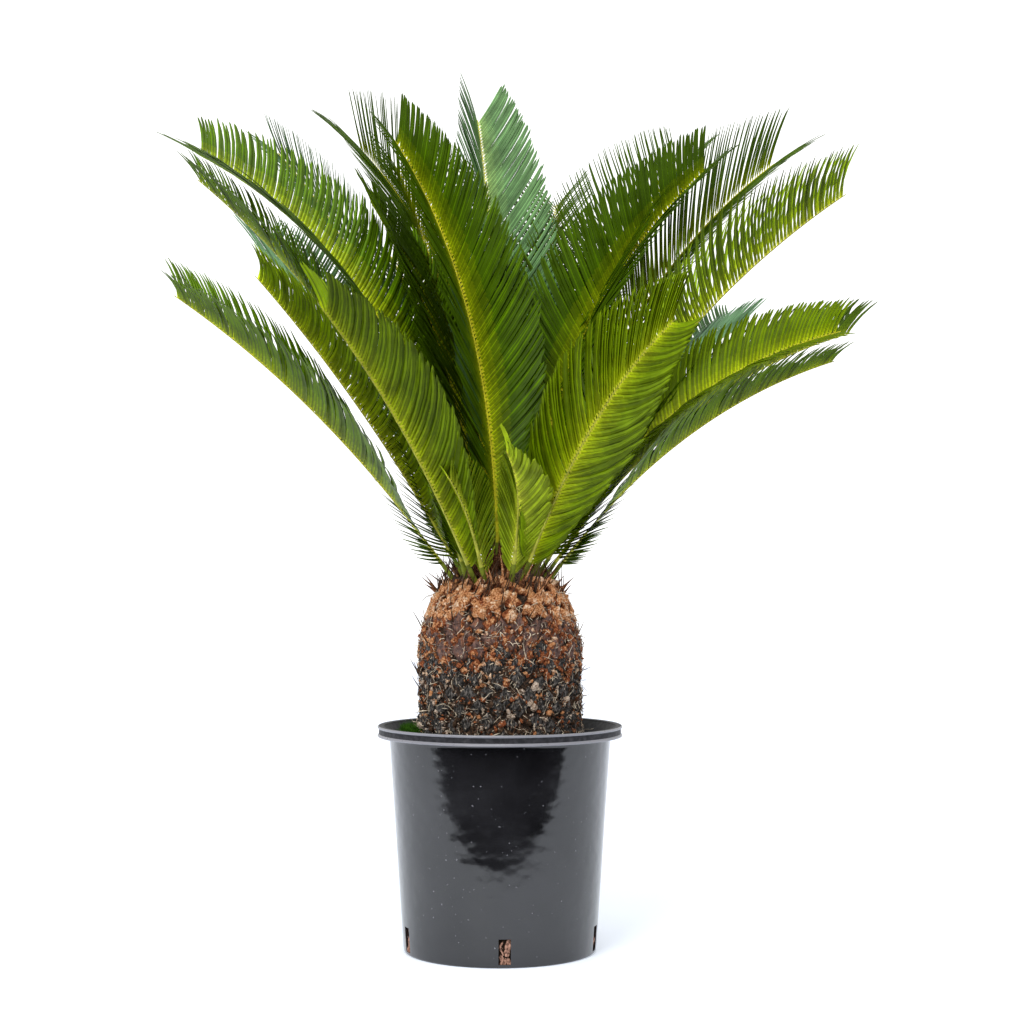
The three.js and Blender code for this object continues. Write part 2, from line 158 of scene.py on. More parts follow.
def make_piece(name, points, faces, materials, slots=None, sharp=None):
    """A mesh object from an array of points in metres and arrays of faces' corners."""
    mesh = bpy.data.meshes.new(name)
    corners = np.concatenate([group.ravel() for group in faces])
    totals = np.concatenate([np.full(len(group), group.shape[1]) for group in faces])
    starts = np.concatenate([[0], np.cumsum(totals)[:-1]])
    mesh.vertices.add(len(points))
    mesh.vertices.foreach_set("co", np.asarray(points, np.float32).ravel())
    mesh.loops.add(len(corners))
    mesh.loops.foreach_set("vertex_index", corners.astype(np.int32))
    mesh.polygons.add(len(totals))
    mesh.polygons.foreach_set("loop_start", starts.astype(np.int32))
    mesh.polygons.foreach_set("loop_total", totals.astype(np.int32))
    for material in materials:
        mesh.materials.append(material)
    if slots is not None:
        mesh.polygons.foreach_set("material_index", slots.astype(np.int32))
    mesh.polygons.foreach_set("use_smooth", np.ones(len(totals), bool))
    mesh.update(calc_edges=True)
    mesh.validate()
    if sharp:
        mesh.set_sharp_from_angle(angle=math.radians(sharp))
    piece = bpy.data.objects.new(name, mesh)
    scene.collection.objects.link(piece)
    return piece


camera = bpy.data.objects.new("camera", bpy.data.cameras.new("camera"))
camera.data.sensor_width = CAMERA_SENSOR
camera.data.lens = CAMERA_LENS
camera.location = CAMERA_PLACE
camera.rotation_euler = (math.radians(90 + CAMERA_PITCH), 0, 0)
scene.collection.objects.link(camera)
scene.camera = camera

table_corners = [
    (-TABLE_SIDE, TABLE_FRONT, 0),
    (TABLE_SIDE, TABLE_FRONT, 0),
    (TABLE_SIDE, TABLE_BACK, 0),
    (-TABLE_SIDE, TABLE_BACK, 0),
]
table_finish = Finish("table_white", (0.84, 0.88, 0.96), 0.6, emission_strength=TABLE_GLOW)
table_finish.set("Emission Color", (0.8, 0.88, 1, 1))
table_face = np.array([[0, 1, 2, 3]])
table = make_piece("table", np.array(table_corners), [table_face], [table_finish.material])
table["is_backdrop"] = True

world = bpy.data.worlds.new("sky")
world.use_nodes = True
scene.world = world
sky = Wire(world.node_tree)
direction = sky.node("ShaderNodeTexCoord", output="Generated")
height = sky.node("ShaderNodeSeparateXYZ", None, {0: direction}, "Z")
above = sky.node("ShaderNodeMath", {"operation": "GREATER_THAN"}, {0: height, 1: HORIZON})
seen = sky.node("ShaderNodeLightPath", output="Is Camera Ray")
lit = above * (SKY_LIGHT - ROOM_LIGHT) + ROOM_LIGHT
brightness = seen.sum("MAXIMUM", seen * SKY_SEEN, lit)
background = world.node_tree.nodes["Background"]
world.node_tree.links.new(brightness.socket, background.inputs["Strength"])
background.inputs["Color"].default_value = (1, 1, 1, 1)


def soft_light(name, place, aim, size, power, colour=(1, 1, 1)):
    lamp = bpy.data.lights.new(name, "AREA")
    lamp.size = size
    lamp.energy = power
    lamp.color = colour
    light = bpy.data.objects.new(name, lamp)
    light.location = place
    back = np.array(place) - np.array(aim)
    pitch = math.atan2(math.hypot(back[0], back[1]), back[2])
    light.rotation_euler = (pitch, 0, math.atan2(back[0], -back[1]))
    scene.collection.objects.link(light)


soft_light("light_top", (-0.3, -0.6, 2.6), PLANT_MIDDLE, size=1.4, power=26)
warm_white = (1, 0.99, 0.96)
soft_light("light_front", (-0.9, -2.3, 1.7), PLANT_MIDDLE, size=1.0, power=34, colour=warm_white)

# --- Pot ---------------------------------------------------------------------------------
# A thin-walled nursery pot, moulded in one piece from black plastic: a slightly flared wall,
# a rolled rim with two fine beads, and five slots round the foot that let the water out.

MM = 0.001
FOOT_RADIUS = 106
WALL_TOP_RADIUS = 122
RIM_RADIUS = 135
MOUTH_RADIUS = 128
POT_HEIGHT = 247
RIM_FOOT = 235
WALL = 3
POT_SIDES = 240
SLOTS = 5
SLOT_WIDTH = 13
SLOT_HEIGHT = 27
SLOT_SILL = 4
SLOT_TURN = 3
# A hair off the axis, so that no face closes to a point
AXIS = 0.01
# The underside's groove, as distances in from the foot's edge, and its depth
GROOVE = (12, 11, 5)
GROOVE_DEPTH = 0.8
FOOT_ROUND = 2.6
FOOT_ROWS = 12
BEAD_ROUND = 1.2
LIP_ROUND = 1.5
BEAD_HOLLOW = 1.6
POT_SHARP = 35
POT_BLACK = (0.005, 0.005, 0.006)
POT_DUST = (0.3, 0.3, 0.34)


def arc(middle, radius, start, stop, steps):
    """Points on an arc in the (radius, height) plane, from one angle to another."""
    turns = np.radians(np.linspace(start, stop, steps))
    return [(middle[0] + radius * math.cos(t), middle[1] + radius * math.sin(t)) for t in turns]


def wall_radius(height):
    return FOOT_RADIUS + (WALL_TOP_RADIUS - FOOT_RADIUS) * height / RIM_FOOT


def turned(profile, sides):
    """Points in mm and faces of a profile of (radius, height), turned about the Z axis."""
    rows = np.array(profile)
    turns = np.linspace(0, 2 * math.pi, sides, endpoint=False)
    x = rows[:, :1] * np.cos(turns)
    y = rows[:, :1] * np.sin(turns)
    z = np.repeat(rows[:, 1:], sides, axis=1)
    return np.stack([x, y, z], axis=-1).reshape(-1, 3), grid_faces(len(rows), sides, wrap=True)


def grid_faces(rows, columns, wrap=False):
    """Four-cornered faces of a grid of points, closed round its columns if it wraps."""
    last = columns if wrap else columns - 1
    row, column = np.meshgrid(np.arange(rows - 1), np.arange(last), indexing="ij")
    after = (column + 1) % columns
    low = row * columns
    high = low + columns
    return np.stack([low + column, low + after, high + after, high + column], -1).reshape(-1, 4)


def grained(name, roughness, grain, stops, depth=0, **values):
    """A material whose colour, and relief if it has a depth, follow one grain of noise."""
    finish = Finish(name, stops[0][1], roughness, **values)
    height = finish.noise(*grain)
    finish.paint(height, *stops)
    if depth:
        finish.bump(height, depth)
    return finish.material


pot_profile = [(AXIS, 0), (FOOT_RADIUS - GROOVE[0], 0)]
pot_profile += [(FOOT_RADIUS - inward, GROOVE_DEPTH) for inward in GROOVE[1:]]
pot_profile += arc((FOOT_RADIUS - FOOT_ROUND, FOOT_ROUND), FOOT_ROUND, -100, 0, 6)
pot_profile += [(wall_radius(z), z) for z in [*np.linspace(5, RIM_FOOT - 4, 24), RIM_FOOT - 1.5]]
pot_profile += [(WALL_TOP_RADIUS + 0.6, RIM_FOOT - 0.2), (WALL_TOP_RADIUS + 2, RIM_FOOT)]
pot_profile += [(RIM_RADIUS - 2.4, RIM_FOOT)]
pot_profile += arc((RIM_RADIUS - BEAD_ROUND, RIM_FOOT + BEAD_ROUND), BEAD_ROUND, -90, 70, 6)
pot_profile += [(RIM_RADIUS - 1.5, RIM_FOOT + 3.2), (RIM_RADIUS - BEAD_HOLLOW, POT_HEIGHT - 4)]
pot_profile += arc((RIM_RADIUS - LIP_ROUND, POT_HEIGHT - LIP_ROUND), LIP_ROUND, -60, 100, 7)
pot_profile += [(RIM_RADIUS - 4, POT_HEIGHT - 0.3)]
pot_profile += arc((MOUTH_RADIUS + BEAD_ROUND, POT_HEIGHT - LIP_ROUND), BEAD_ROUND, 90, 190, 5)
pot_profile += [(WALL_TOP_RADIUS - WALL + 1.5, RIM_FOOT + 1), (WALL_TOP_RADIUS - WALL, RIM_FOOT - 2)]
pot_profile += [(wall_radius(z) - WALL, z) for z in np.linspace(220, WALL + 2, 8)]
pot_profile += [(FOOT_RADIUS - WALL - 4, WALL), (AXIS, WALL)]

pot_black = Finish("pot_black", POT_BLACK, 0.12, ior=1.55, coat_weight=0.25)
pot_black.set("Coat Roughness", 0.04)
ripple = pot_black.noise(70, 0.6, (1, 1, 1.2))
swell = pot_black.noise(17, 1)
pot_black.bump(ripple + swell * 2, 0.0009, 0.5)
dust = pot_black.ramp(pot_black.noise(330, 1.5), (0.735, (0, 0, 0)), (0.76, (1, 1, 1)))
haze = pot_black.ramp(pot_black.noise(11, 5), (0.4, (0, 0, 0)), (0.8, (0.04, 0.04, 0.04)))
dusty = pot_black.wire.sum("MAXIMUM", dust * 0.5, haze)
# The Mix node's sockets 6 and 7 are its two colours, and its output 2 the blend
colours = {"Factor": dusty, 6: (*POT_BLACK, 1), 7: (*POT_DUST, 1)}
coloured = pot_black.wire.node("ShaderNodeMix", {"data_type": "RGBA"}, colours, 2)
pot_black.set("Base Color", coloured)
pot_black.set("Roughness", haze * 2.5 + dust * 0.3 + 0.1)

# The lip and the inside are scuffed dull, and only the lip's two beads still shine. The beads are
# also painted pale grey: a painted highlight on the black plastic.
SCUFFS = ((0.4, (0.02, 0.02, 0.023)), (0.8, (0.055, 0.055, 0.062)))
pot_dull = grained("pot_dull", 0.5, (180, 3), SCUFFS, specular_ior_level=0.1)
pot_bead_highlight = Finish("pot_bead_highlight", (0.22, 0.22, 0.25), 0.25, ior=1.6)
pot_bead_highlight.set("Roughness", pot_bead_highlight.noise(200, 3) * 0.5 + 0.1)

pot_points, pot_faces = turned(pot_profile, POT_SIDES)
ring_radius, ring_height = np.array(pot_profile).T
bead_from = RIM_RADIUS - BEAD_HOLLOW
inside = ring_radius[:-1] < wall_radius(ring_height[:-1]) - 1
on_lip = (ring_height[:-1] > RIM_FOOT - 1) | inside
on_lip &= np.arange(len(pot_profile) - 1) > FOOT_ROWS
# Faces on the two beads, which take the painted highlight
highlit_bead = on_lip & (ring_radius[:-1] > bead_from) & (ring_radius[1:] > bead_from)
pot_slots = np.where(highlit_bead, 2, np.where(on_lip, 1, 0))
pot = make_piece(
    "pot_shell",
    pot_points * MM,
    [pot_faces],
    [pot_black.material, pot_dull, pot_bead_highlight.material],
    np.repeat(pot_slots, POT_SIDES),
)


def box_piece(name, size, place, turn):
    """A plain box in mm, used to cut a slot and then thrown away."""
    signs = np.array([(x, y, z) for x in (-1, 1) for y in (-1, 1) for z in (-1, 1)])
    points = signs * np.array(size) / 2 + np.array(place)
    spun = points.copy()
    spun[:, 0] = points[:, 0] * math.cos(turn) - points[:, 1] * math.sin(turn)
    spun[:, 1] = points[:, 0] * math.sin(turn) + points[:, 1] * math.cos(turn)
    sides = [(0, 1, 3, 2), (4, 6, 7, 5), (0, 4, 5, 1), (2, 3, 7, 6), (0, 2, 6, 4), (1, 5, 7, 3)]
    return make_piece(name, spun * MM, [np.array(sides)], [])


def settle(piece):
    """Applies a piece's modifiers to its mesh."""
    scene.view_layers[0].update()
    seen_from = piece.evaluated_get(bpy.context.evaluated_depsgraph_get())
    piece.data = bpy.data.meshes.new_from_object(seen_from)
    piece.modifiers.clear()


cutters = []
for slot in range(SLOTS):
    turn = math.radians(SLOT_TURN + slot * 360 / SLOTS)
    middle = (0, -(FOOT_RADIUS - WALL / 2), SLOT_SILL + SLOT_HEIGHT / 2)
    cutters.append(box_piece(f"slot_{slot}", (SLOT_WIDTH, 8 * WALL, SLOT_HEIGHT), middle, turn))
    cut = pot.modifiers.new("slot", "BOOLEAN")
    cut.object = cutters[-1]
    cut.solver = "EXACT"
settle(pot)
for cutter in cutters:
    bpy.data.objects.remove(cutter)
pot.data.set_sharp_from_angle(angle=math.radians(POT_SHARP))
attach(pot, "root")
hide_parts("pot")

# --- Soil --------------------------------------------------------------------------------
# Damp potting mix, filled to a finger's width under the rim and heaped against the trunk.
# Crumbs of bark lie on it, and roots press against the wall and show in the slots.

SOIL_TOP = 234
SOIL_EDGE_DROP = 3
SOIL_REACH = 118
SOIL_INNER = 84
SOIL_CLEAR = 0.4
SOIL_SIDES = 360
SOIL_CRUMBS = 1700
SOIL_OPEN_RING = (90, 117)
SOIL_SEED = 11
WAVES_SUMMED = 14


def unit(vectors):
    return vectors / np.linalg.norm(vectors, axis=-1, keepdims=True)


def waves(points, scale, seed):
    """Smooth noise of about -1 to 1 at points in mm: a sum of waves of about one scale."""
    random = np.random.default_rng(seed)
    ways = unit(random.normal(size=(WAVES_SUMMED, 3)))
    pitch = 2 * math.pi / (scale * random.uniform(0.6, 1.6, WAVES_SUMMED))
    shift = random.uniform(0, 2 * math.pi, WAVES_SUMMED)
    swings = np.sin(points @ (ways * pitch[:, None]).T + shift)
    return swings.sum(-1) / math.sqrt(WAVES_SUMMED)


def blob(rings, sides):
    """A unit ball of points and faces, to be stamped and roughened."""
    turns = np.linspace(0, 2 * math.pi, sides, endpoint=False)
    tilts = np.linspace(-math.pi / 2, math.pi / 2, rings + 2)[1:-1]
    x = np.cos(tilts)[:, None] * np.cos(turns)
    y = np.cos(tilts)[:, None] * np.sin(turns)
    z = np.repeat(np.sin(tilts)[:, None], sides, axis=1)
    points = np.stack([x, y, z], -1).reshape(-1, 3)
    points = np.concatenate([points, [(0, 0, -1), (0, 0, 1)]])
    quads = grid_faces(rings, sides, wrap=True)
    corner = np.arange(sides)
    after = (corner + 1) % sides
    top = (rings - 1) * sides
    low = np.full(sides, len(points) - 2)
    high = np.full(sides, len(points) - 1)
    caps = np.concatenate(
        [np.stack([low, after, corner], -1), np.stack([high, top + corner, top + after], -1)]
    )
    return points, quads, caps


def stamp(template, centres, frames, sizes):
    """Copies of a template's points, one for each centre, on that centre's own three axes."""
    local = template[None] * sizes[:, None, :]
    return centres[:, None, :] + np.einsum("nki,nij->nkj", local, frames)


def repeated(faces, count, size):
    """A template's faces, once for each copy of its points."""
    return (faces[None] + (np.arange(count) * size)[:, None, None]).reshape(-1, faces.shape[1])


def tumbled(random, count):
    """Frames turned every way."""
    frames, _ = np.linalg.qr(random.normal(size=(count, 3, 3)))
    return frames


def crumbs(random, centres, frames, sizes, rough, grain, rings=3, sides=6):
    """Rough lumps at the centres: points in mm, and faces."""
    template, quads, caps = blob(rings, sides)
    points = stamp(template, centres, frames, sizes)
    away = points - centres[:, None, :]
    seed = int(random.integers(1000))
    swell = waves(points.reshape(-1, 3), grain, seed).reshape(points.shape[:2])
    points = centres[:, None, :] + away * (1 + rough * swell)[..., None]
    count, size = points.shape[:2]
    faces = [repeated(quads, count, size), repeated(caps, count, size)]
    return points.reshape(-1, 3), faces


soil_dark = Finish("soil_dark", (0.03, 0.02, 0.013), 0.95, specular_ior_level=0)
soil_grain = soil_dark.noise(900, 4)
soil_dark.paint(
    soil_grain,
    (0.3, (0.006, 0.004, 0.003)),
    (0.55, (0.018, 0.012, 0.008)),
    (0.72, (0.08, 0.05, 0.033)),
)
soil_dark.bump(soil_grain + soil_dark.noise(250, 3), 0.003)


def soil_height(radius):
    """The soil's level, which sinks a little toward the wall."""
    return SOIL_TOP - SOIL_EDGE_DROP * (radius / SOIL_REACH) ** 4


wall_heights = np.linspace(WALL + 1, SOIL_TOP - SOIL_EDGE_DROP, 60)
soil_rows = [(AXIS, WALL + 1)]
soil_rows += [(wall_radius(z) - WALL - SOIL_CLEAR, z) for z in wall_heights]
soil_rows += [(r, soil_height(r)) for r in np.linspace(SOIL_REACH - 2, SOIL_INNER, 16)]
soil_points, soil_faces = turned(soil_rows, SOIL_SIDES)
lumps = 0.9 * waves(soil_points, scale=9, seed=3) + 0.6 * waves(soil_points, scale=3.4, seed=4)
on_top = soil_points[:, 2] > SOIL_TOP - SOIL_EDGE_DROP - 0.5
soil_points[:, 2] += np.where(on_top, lumps, 0)
inward = 1 - np.where(on_top, 0, np.abs(waves(soil_points, scale=5, seed=5)) * 0.008)
soil_points[:, :2] *= inward[:, None]
soil = make_piece("soil_fill", soil_points * MM, [soil_faces], [soil_dark.material])
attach(soil, "root")
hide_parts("soil")

random = np.random.default_rng(SOIL_SEED)
turn = random.uniform(0, 2 * math.pi, SOIL_CRUMBS)
radius = random.uniform(*SOIL_OPEN_RING, SOIL_CRUMBS)
centres = np.stack([radius * np.cos(turn), radius * np.sin(turn), soil_height(radius)], -1)
sizes = random.uniform(0.5, 2.2, (SOIL_CRUMBS, 1)) * random.uniform(0.5, 1.3, (SOIL_CRUMBS, 3))
frames = tumbled(random, SOIL_CRUMBS)
crumb_points, crumb_faces = crumbs(random, centres, frames, sizes, rough=0.25, grain=2)
BARK = ((0.35, (0.012, 0.008, 0.006)), (0.7, (0.1, 0.065, 0.04)))
bark_chip = grained("bark_chip", 0.9, (300, 3), BARK, specular_ior_level=0)
soil_crumbs = make_piece("soil_crumbs", crumb_points * MM, crumb_faces, [bark_chip])
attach(soil_crumbs, "root")
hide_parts("soil")


# A way that no tube runs along
ASLANT = np.array([0.31, 0.52, 0.79])


def tubes(lines, radii, sides):
    """Closed tubes along lines of points, shape (count, steps, 3), in mm."""
    count, steps = lines.shape[:2]
    along = unit(np.gradient(lines, axis=1))
    start = unit(np.cross(along[:, 0], ASLANT))
    side = unit(start[:, None] - along * (along * start[:, None]).sum(-1, keepdims=True))
    other = np.cross(along, side)
    turns = np.linspace(0, 2 * math.pi, sides, endpoint=False)
    ring = side[:, :, None] * np.cos(turns)[:, None] + other[:, :, None] * np.sin(turns)[:, None]
    points = (lines[:, :, None] + ring * radii[:, :, None, None]).reshape(count, -1, 3)
    size = points.shape[1]
    walls = grid_faces(steps, sides, wrap=True)
    ends = np.stack([np.arange(sides)[::-1], (steps - 1) * sides + np.arange(sides)])
    return points.reshape(-1, 3), [repeated(walls, count, size), repeated(ends, count, size)]


def wander(random, starts, ways, lengths, bend, steps):
    """Lines that start along a way and drift, shape (count, steps, 3), in mm."""
    count = len(starts)
    stride = lengths[:, None, None] / (steps - 1)
    drift = np.cumsum(random.normal(size=(count, steps - 1, 3)) * bend, axis=1)
    walk = np.cumsum(unit(ways[:, None] + drift) * stride, axis=1)
    return np.concatenate([starts[:, None], starts[:, None] + walk], axis=1)


ROOTS_A_SLOT = 16
ROOT_STEPS = 14
ROOT_SWAY = 2.2
ROOT_BULGE = 1.2
root_lines = []
for slot in range(SLOTS):
    turn = math.radians(SLOT_TURN - 90 + slot * 360 / SLOTS)
    out = np.array([math.cos(turn), math.sin(turn), 0])
    round_way = np.array([-math.sin(turn), math.cos(turn), 0])
    steps = np.linspace(0, 1, ROOT_STEPS)
    for _ in range(ROOTS_A_SLOT):
        depth = FOOT_RADIUS - WALL - random.uniform(0.5, 3)
        slant = random.uniform(-6, 6)
        middle = random.uniform(-6, 6)
        sway = np.sin(steps * random.uniform(4, 9) + random.uniform(0, 6))
        across = middle + slant * steps + ROOT_SWAY * sway
        up = np.outer(SLOT_SILL - 2 + (SLOT_HEIGHT + 4) * steps, [0, 0, 1])
        bulge = depth + ROOT_BULGE * np.sin(steps * 7 + random.uniform(0, 6))
        root_lines.append(out * bulge[:, None] + round_way * across[:, None] + up)
root_lines = np.array(root_lines)
root_radii = random.uniform(0.8, 2.6, (len(root_lines), 1))
root_radii = root_radii * random.uniform(0.6, 1.2, (len(root_lines), ROOT_STEPS))
root_points, root_faces = tubes(root_lines, root_radii, sides=8)
root_tan = Finish("root_tan", (0.27, 0.15, 0.1), 0.8)
root_grain = root_tan.noise(350, 3)
root_tan.paint(root_grain, (0.35, (0.12, 0.055, 0.035)), (0.65, (0.5, 0.27, 0.19)))
root_tan.bump(root_tan.noise(500, 3), 0.001)
roots = make_piece("slot_roots", root_points * MM, root_faces, [root_tan.material])
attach(roots, "root")
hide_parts("soil")

# --- Moss --------------------------------------------------------------------------------
# Cushion moss that creeps over the damp soil at the front left: thousands of tiny upright
# blades, longest in the middle of the cushion.

MOSS_BLADES = 6700
MOSS_INNER = 96
MOSS_OUTER = 117
MOSS_FROM = -97
MOSS_TO = 27
MOSS_TUFT = -84
MOSS_TUFT_BLADES = 1500
MOSS_TUFT_SPREAD = 6.5
# Least, likeliest and most
MOSS_TUFT_RADII = (91, 97, 108)
MOSS_TUFT_LENGTHS = (5, 16, 22)
MOSS_SEED = 23


def around(radius, turn, height):
    """Points in mm round the trunk, turned from the plant's front."""
    return np.stack([radius * np.sin(turn), -radius * np.cos(turn), height], -1)


random = np.random.default_rng(MOSS_SEED)
share = random.uniform(0, 1, MOSS_BLADES)
turn = np.radians(MOSS_FROM + (MOSS_TO - MOSS_FROM) * share)
swell = 0.25 + 0.75 * np.sin(math.pi * share)
across = random.uniform(0, 1, MOSS_BLADES)
radius = MOSS_OUTER - (MOSS_OUTER - MOSS_INNER) * swell * (1 - across)
ground = soil_height(radius)
moss_feet = around(radius, turn, ground)
cushion = np.sin(math.pi * across) ** 0.5 * swell
moss_lengths = (2 + 6.5 * cushion) * random.uniform(0.55, 1.15, MOSS_BLADES)
in_tuft = np.arange(MOSS_BLADES) < MOSS_TUFT_BLADES
turn = np.radians(MOSS_TUFT + random.normal(0, MOSS_TUFT_SPREAD, MOSS_BLADES))
radius = random.triangular(*MOSS_TUFT_RADII, MOSS_BLADES)
moss_feet = np.where(in_tuft[:, None], around(radius, turn, ground), moss_feet)
tuft_lengths = random.triangular(*MOSS_TUFT_LENGTHS, MOSS_BLADES)
moss_lengths = np.where(in_tuft, tuft_lengths, moss_lengths)
lean = random.normal(0, 0.35, (MOSS_BLADES, 3))
lean[:, 2] = 1
moss_lines = wander(random, moss_feet, unit(lean), moss_lengths, bend=0.14, steps=4)
moss_radii = np.outer(random.uniform(0.35, 0.6, MOSS_BLADES), [1, 0.9, 0.6, 0.15])
moss_points, moss_faces = tubes(moss_lines, moss_radii, sides=3)
MOSS = ((0.35, (0.01, 0.035, 0.002)), (0.65, (0.05, 0.15, 0.01)))
moss_green = grained("moss_green", 0.9, (160, 3), MOSS, specular_ior_level=0.05)
moss = make_piece("moss_tufts", moss_points * MM, moss_faces, [moss_green])
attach(moss, "root")
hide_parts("moss")

# --- Trunk: the stem under its armour ----------------------------------------------------
# A squat stem that bulges at the shoulder and closes in a dome. Its skin is rough, dark and
# crumbly, and shows only in the clefts between the old leaf bases.

# Radius and height, from the soil to the brim of the dome
TRUNK_PROFILE = [(90, 234.3), (88, 262), (87.5, 300), (89, 332)]
TRUNK_PROFILE += [(85, 352), (79, 372), (73, 388), (66, 396.7)]
DOME_RADIUS = 87
DOME_CENTRE = 340
SKIN_DEPTH = 4.5
SLOPE_REACH = 4
STEM_ROUND = 240
STEM_ROWS = 110
DOME_ROWS = 34
UPRIGHT = np.array([0, 0, 1.0])


def dome_height(radius):
    return DOME_CENTRE + np.sqrt(DOME_RADIUS**2 - np.asarray(radius, float) ** 2)


skin_rows = TRUNK_PROFILE + [(r, float(dome_height(r))) for r in np.linspace(60, 0.5, 16)]
skin_rows = np.array(skin_rows)
skin_strides = np.linalg.norm(np.diff(skin_rows, axis=0), axis=1)
skin_marks = np.concatenate([[0], np.cumsum(skin_strides)])
waist, bulge, shoulder, collar, brim = skin_marks[[2, 4, 5, 6, 7]]
summit = skin_marks[-1]


def skin(climb, turn):
    """Points on the trunk, climb mm up its skin from the soil, and the skin's own axes."""
    radius, height = (np.interp(climb, skin_marks, part)[:, None] for part in skin_rows.T)
    above, below = climb + SLOPE_REACH, climb - SLOPE_REACH
    lean, rise = (
        np.interp(above, skin_marks, part) - np.interp(below, skin_marks, part)
        for part in skin_rows.T
    )
    lean, rise = unit(np.stack([lean, rise], -1)).T[..., None]
    out = np.stack([np.cos(turn), np.sin(turn), np.zeros_like(turn)], -1)
    side = np.stack([-np.sin(turn), np.cos(turn), np.zeros_like(turn)], -1)
    axes = [side, out * lean + UPRIGHT * rise, out * rise - UPRIGHT * lean]
    return out * radius + UPRIGHT * height, np.stack(axes, -2)


climbs = [np.linspace(0, brim, STEM_ROWS), np.linspace(brim + 2, summit, DOME_ROWS)]
climbs = np.concatenate(climbs)
turns = np.linspace(0, 2 * math.pi, STEM_ROUND, endpoint=False)
grid_climb, grid_turn = np.meshgrid(climbs, turns, indexing="ij")
stem_points, stem_axes = skin(grid_climb.ravel(), grid_turn.ravel())
stem_noise = 1.6 * waves(stem_points, scale=10, seed=31) + waves(stem_points, scale=4.5, seed=32)
stem_points = stem_points + stem_axes[:, 2] * (stem_noise - SKIN_DEPTH)[:, None]
PEATY = ((0.35, (0.012, 0.009, 0.007)), (0.52, (0.06, 0.035, 0.022)), (0.7, (0.24, 0.13, 0.08)))
stem_dark = grained("stem_dark", 0.95, (420, 5), PEATY, depth=0.004)
stem_faces = grid_faces(len(climbs), STEM_ROUND, wrap=True)
stem = make_piece("trunk_stem", stem_points * MM, [stem_faces], [stem_dark])
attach(stem, "root")
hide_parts("trunk")

# --- Trunk: old leaf bases ---------------------------------------------------------------
# The stubs that fallen fronds leave, set in a spiral lattice. Each is a woody lozenge whose
# upper edge juts out, grey and crumbling low down, plum brown and smoother near the top.

SCALES_ROUND = 24
SCALE_FIRST_ROW = 5
SCALE_ROW_PITCH = 15.2
SCALE_ROWS = 9
SCALE_HALF_WIDTH = 10.6
SCALE_HALF_HEIGHT = 12.2
SCALE_GRID = 15
SCALE_CROWN = 2.6
SCALE_SHARP = 50
EDGE_FLARE = 1.06
PLUM_FROM_ROW = 5.6
SCALE_SEED = 41

random = np.random.default_rng(SCALE_SEED)
row, column = np.meshgrid(np.arange(SCALE_ROWS), np.arange(SCALES_ROUND), indexing="ij")
row = row.ravel()
scale_climb = SCALE_FIRST_ROW + row * SCALE_ROW_PITCH + random.normal(0, 2.2, row.size)
scale_turn = column.ravel() + 0.5 * row + random.normal(0, 0.13, row.size)
scale_turn = scale_turn * 2 * math.pi / SCALES_ROUND
scale_centres, scale_axes = skin(scale_climb, scale_turn)

# Across and up one lozenge, whose edge is turned down into the skin
sides = np.linspace(0, 1, SCALE_GRID)
left, right = (part.ravel() for part in np.meshgrid(sides, sides, indexing="ij"))
edge = np.maximum(np.abs(2 * left - 1), np.abs(2 * right - 1))
on_edge = edge > 0.99
flare = np.where(on_edge, EDGE_FLARE, 1)
slab_x = (left - right) * flare
slab_y = (left + right - 1) * flare
crown = SCALE_CROWN * (1 - np.clip((edge - 0.6) / 0.35, 0, 1) ** 2)

# Sizes and slopes of each scale, by its row: those higher up are larger, steeper and deeper set
worn = random.uniform(0.66, 1.12, (row.size, 1)) * np.interp(row, [4, 6], [1, 1.18])[:, None]
jut = random.uniform(0.4, 1.0, (row.size, 1)) * np.interp(row, [0, 4, 8], [1.4, 1.8, 2.6])[:, None]
sink = np.interp(row, [2, 4, 6, 8], [2, 2.2, 2.8, 4])[:, None]
rise = (crown + jut * (slab_y + 0.3) - sink) * worn
rise[:, on_edge] = -SKIN_DEPTH - 1
local = [slab_x * SCALE_HALF_WIDTH * worn, slab_y * SCALE_HALF_HEIGHT * worn, rise]
local = np.stack(local, -1)
scale_points = scale_centres[:, None] + np.einsum("nki,nij->nkj", local, scale_axes)
loose = scale_points.reshape(-1, 3)
fret = 0.8 * waves(loose, scale=2.6, seed=42) + waves(loose * [1, 1, 0.3], scale=4, seed=43)
fret = np.where(on_edge, 0, fret.reshape(rise.shape))
scale_points = scale_points + scale_axes[:, None, 2] * fret[..., None]

GREY = ((0.36, (0.01, 0.009, 0.008)), (0.52, (0.06, 0.056, 0.054)), (0.66, (0.26, 0.23, 0.21)))
PLUM = ((0.3, (0.045, 0.022, 0.017)), (0.5, (0.13, 0.08, 0.072)), (0.7, (0.36, 0.16, 0.09)))
grey_grain = (520, 5, (1, 1, 0.3))
plum_grain = (240, 4, (1, 1, 0.5))
scale_grey = grained("scale_grey", 0.85, grey_grain, GREY, 0.003, specular_ior_level=0.25)
scale_plum = grained("scale_plum", 0.6, plum_grain, PLUM, 0.0015, specular_ior_level=0.2)


def each_face(values, faces):
    """Each copy's value, once for every face of the copy, in the order of the faces."""
    return np.concatenate([np.repeat(values, len(group) // len(values)) for group in faces])


plum = row + random.uniform(-0.8, 0.8, row.size) > PLUM_FROM_ROW
scale_faces = [repeated(grid_faces(SCALE_GRID, SCALE_GRID), row.size, SCALE_GRID**2)]
scales = make_piece(
    "trunk_scales",
    scale_points.reshape(-1, 3) * MM,
    scale_faces,
    [scale_grey, scale_plum],
    each_face(plum, scale_faces),
    SCALE_SHARP,
)
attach(scales, "root")
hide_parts("trunk")

# --- Trunk: wool -------------------------------------------------------------------------
# Tan felt that the crown sheds: thick folded lumps on the shoulder, and crumbs of it caught
# in the clefts all the way down, bleached to cream on the old part.

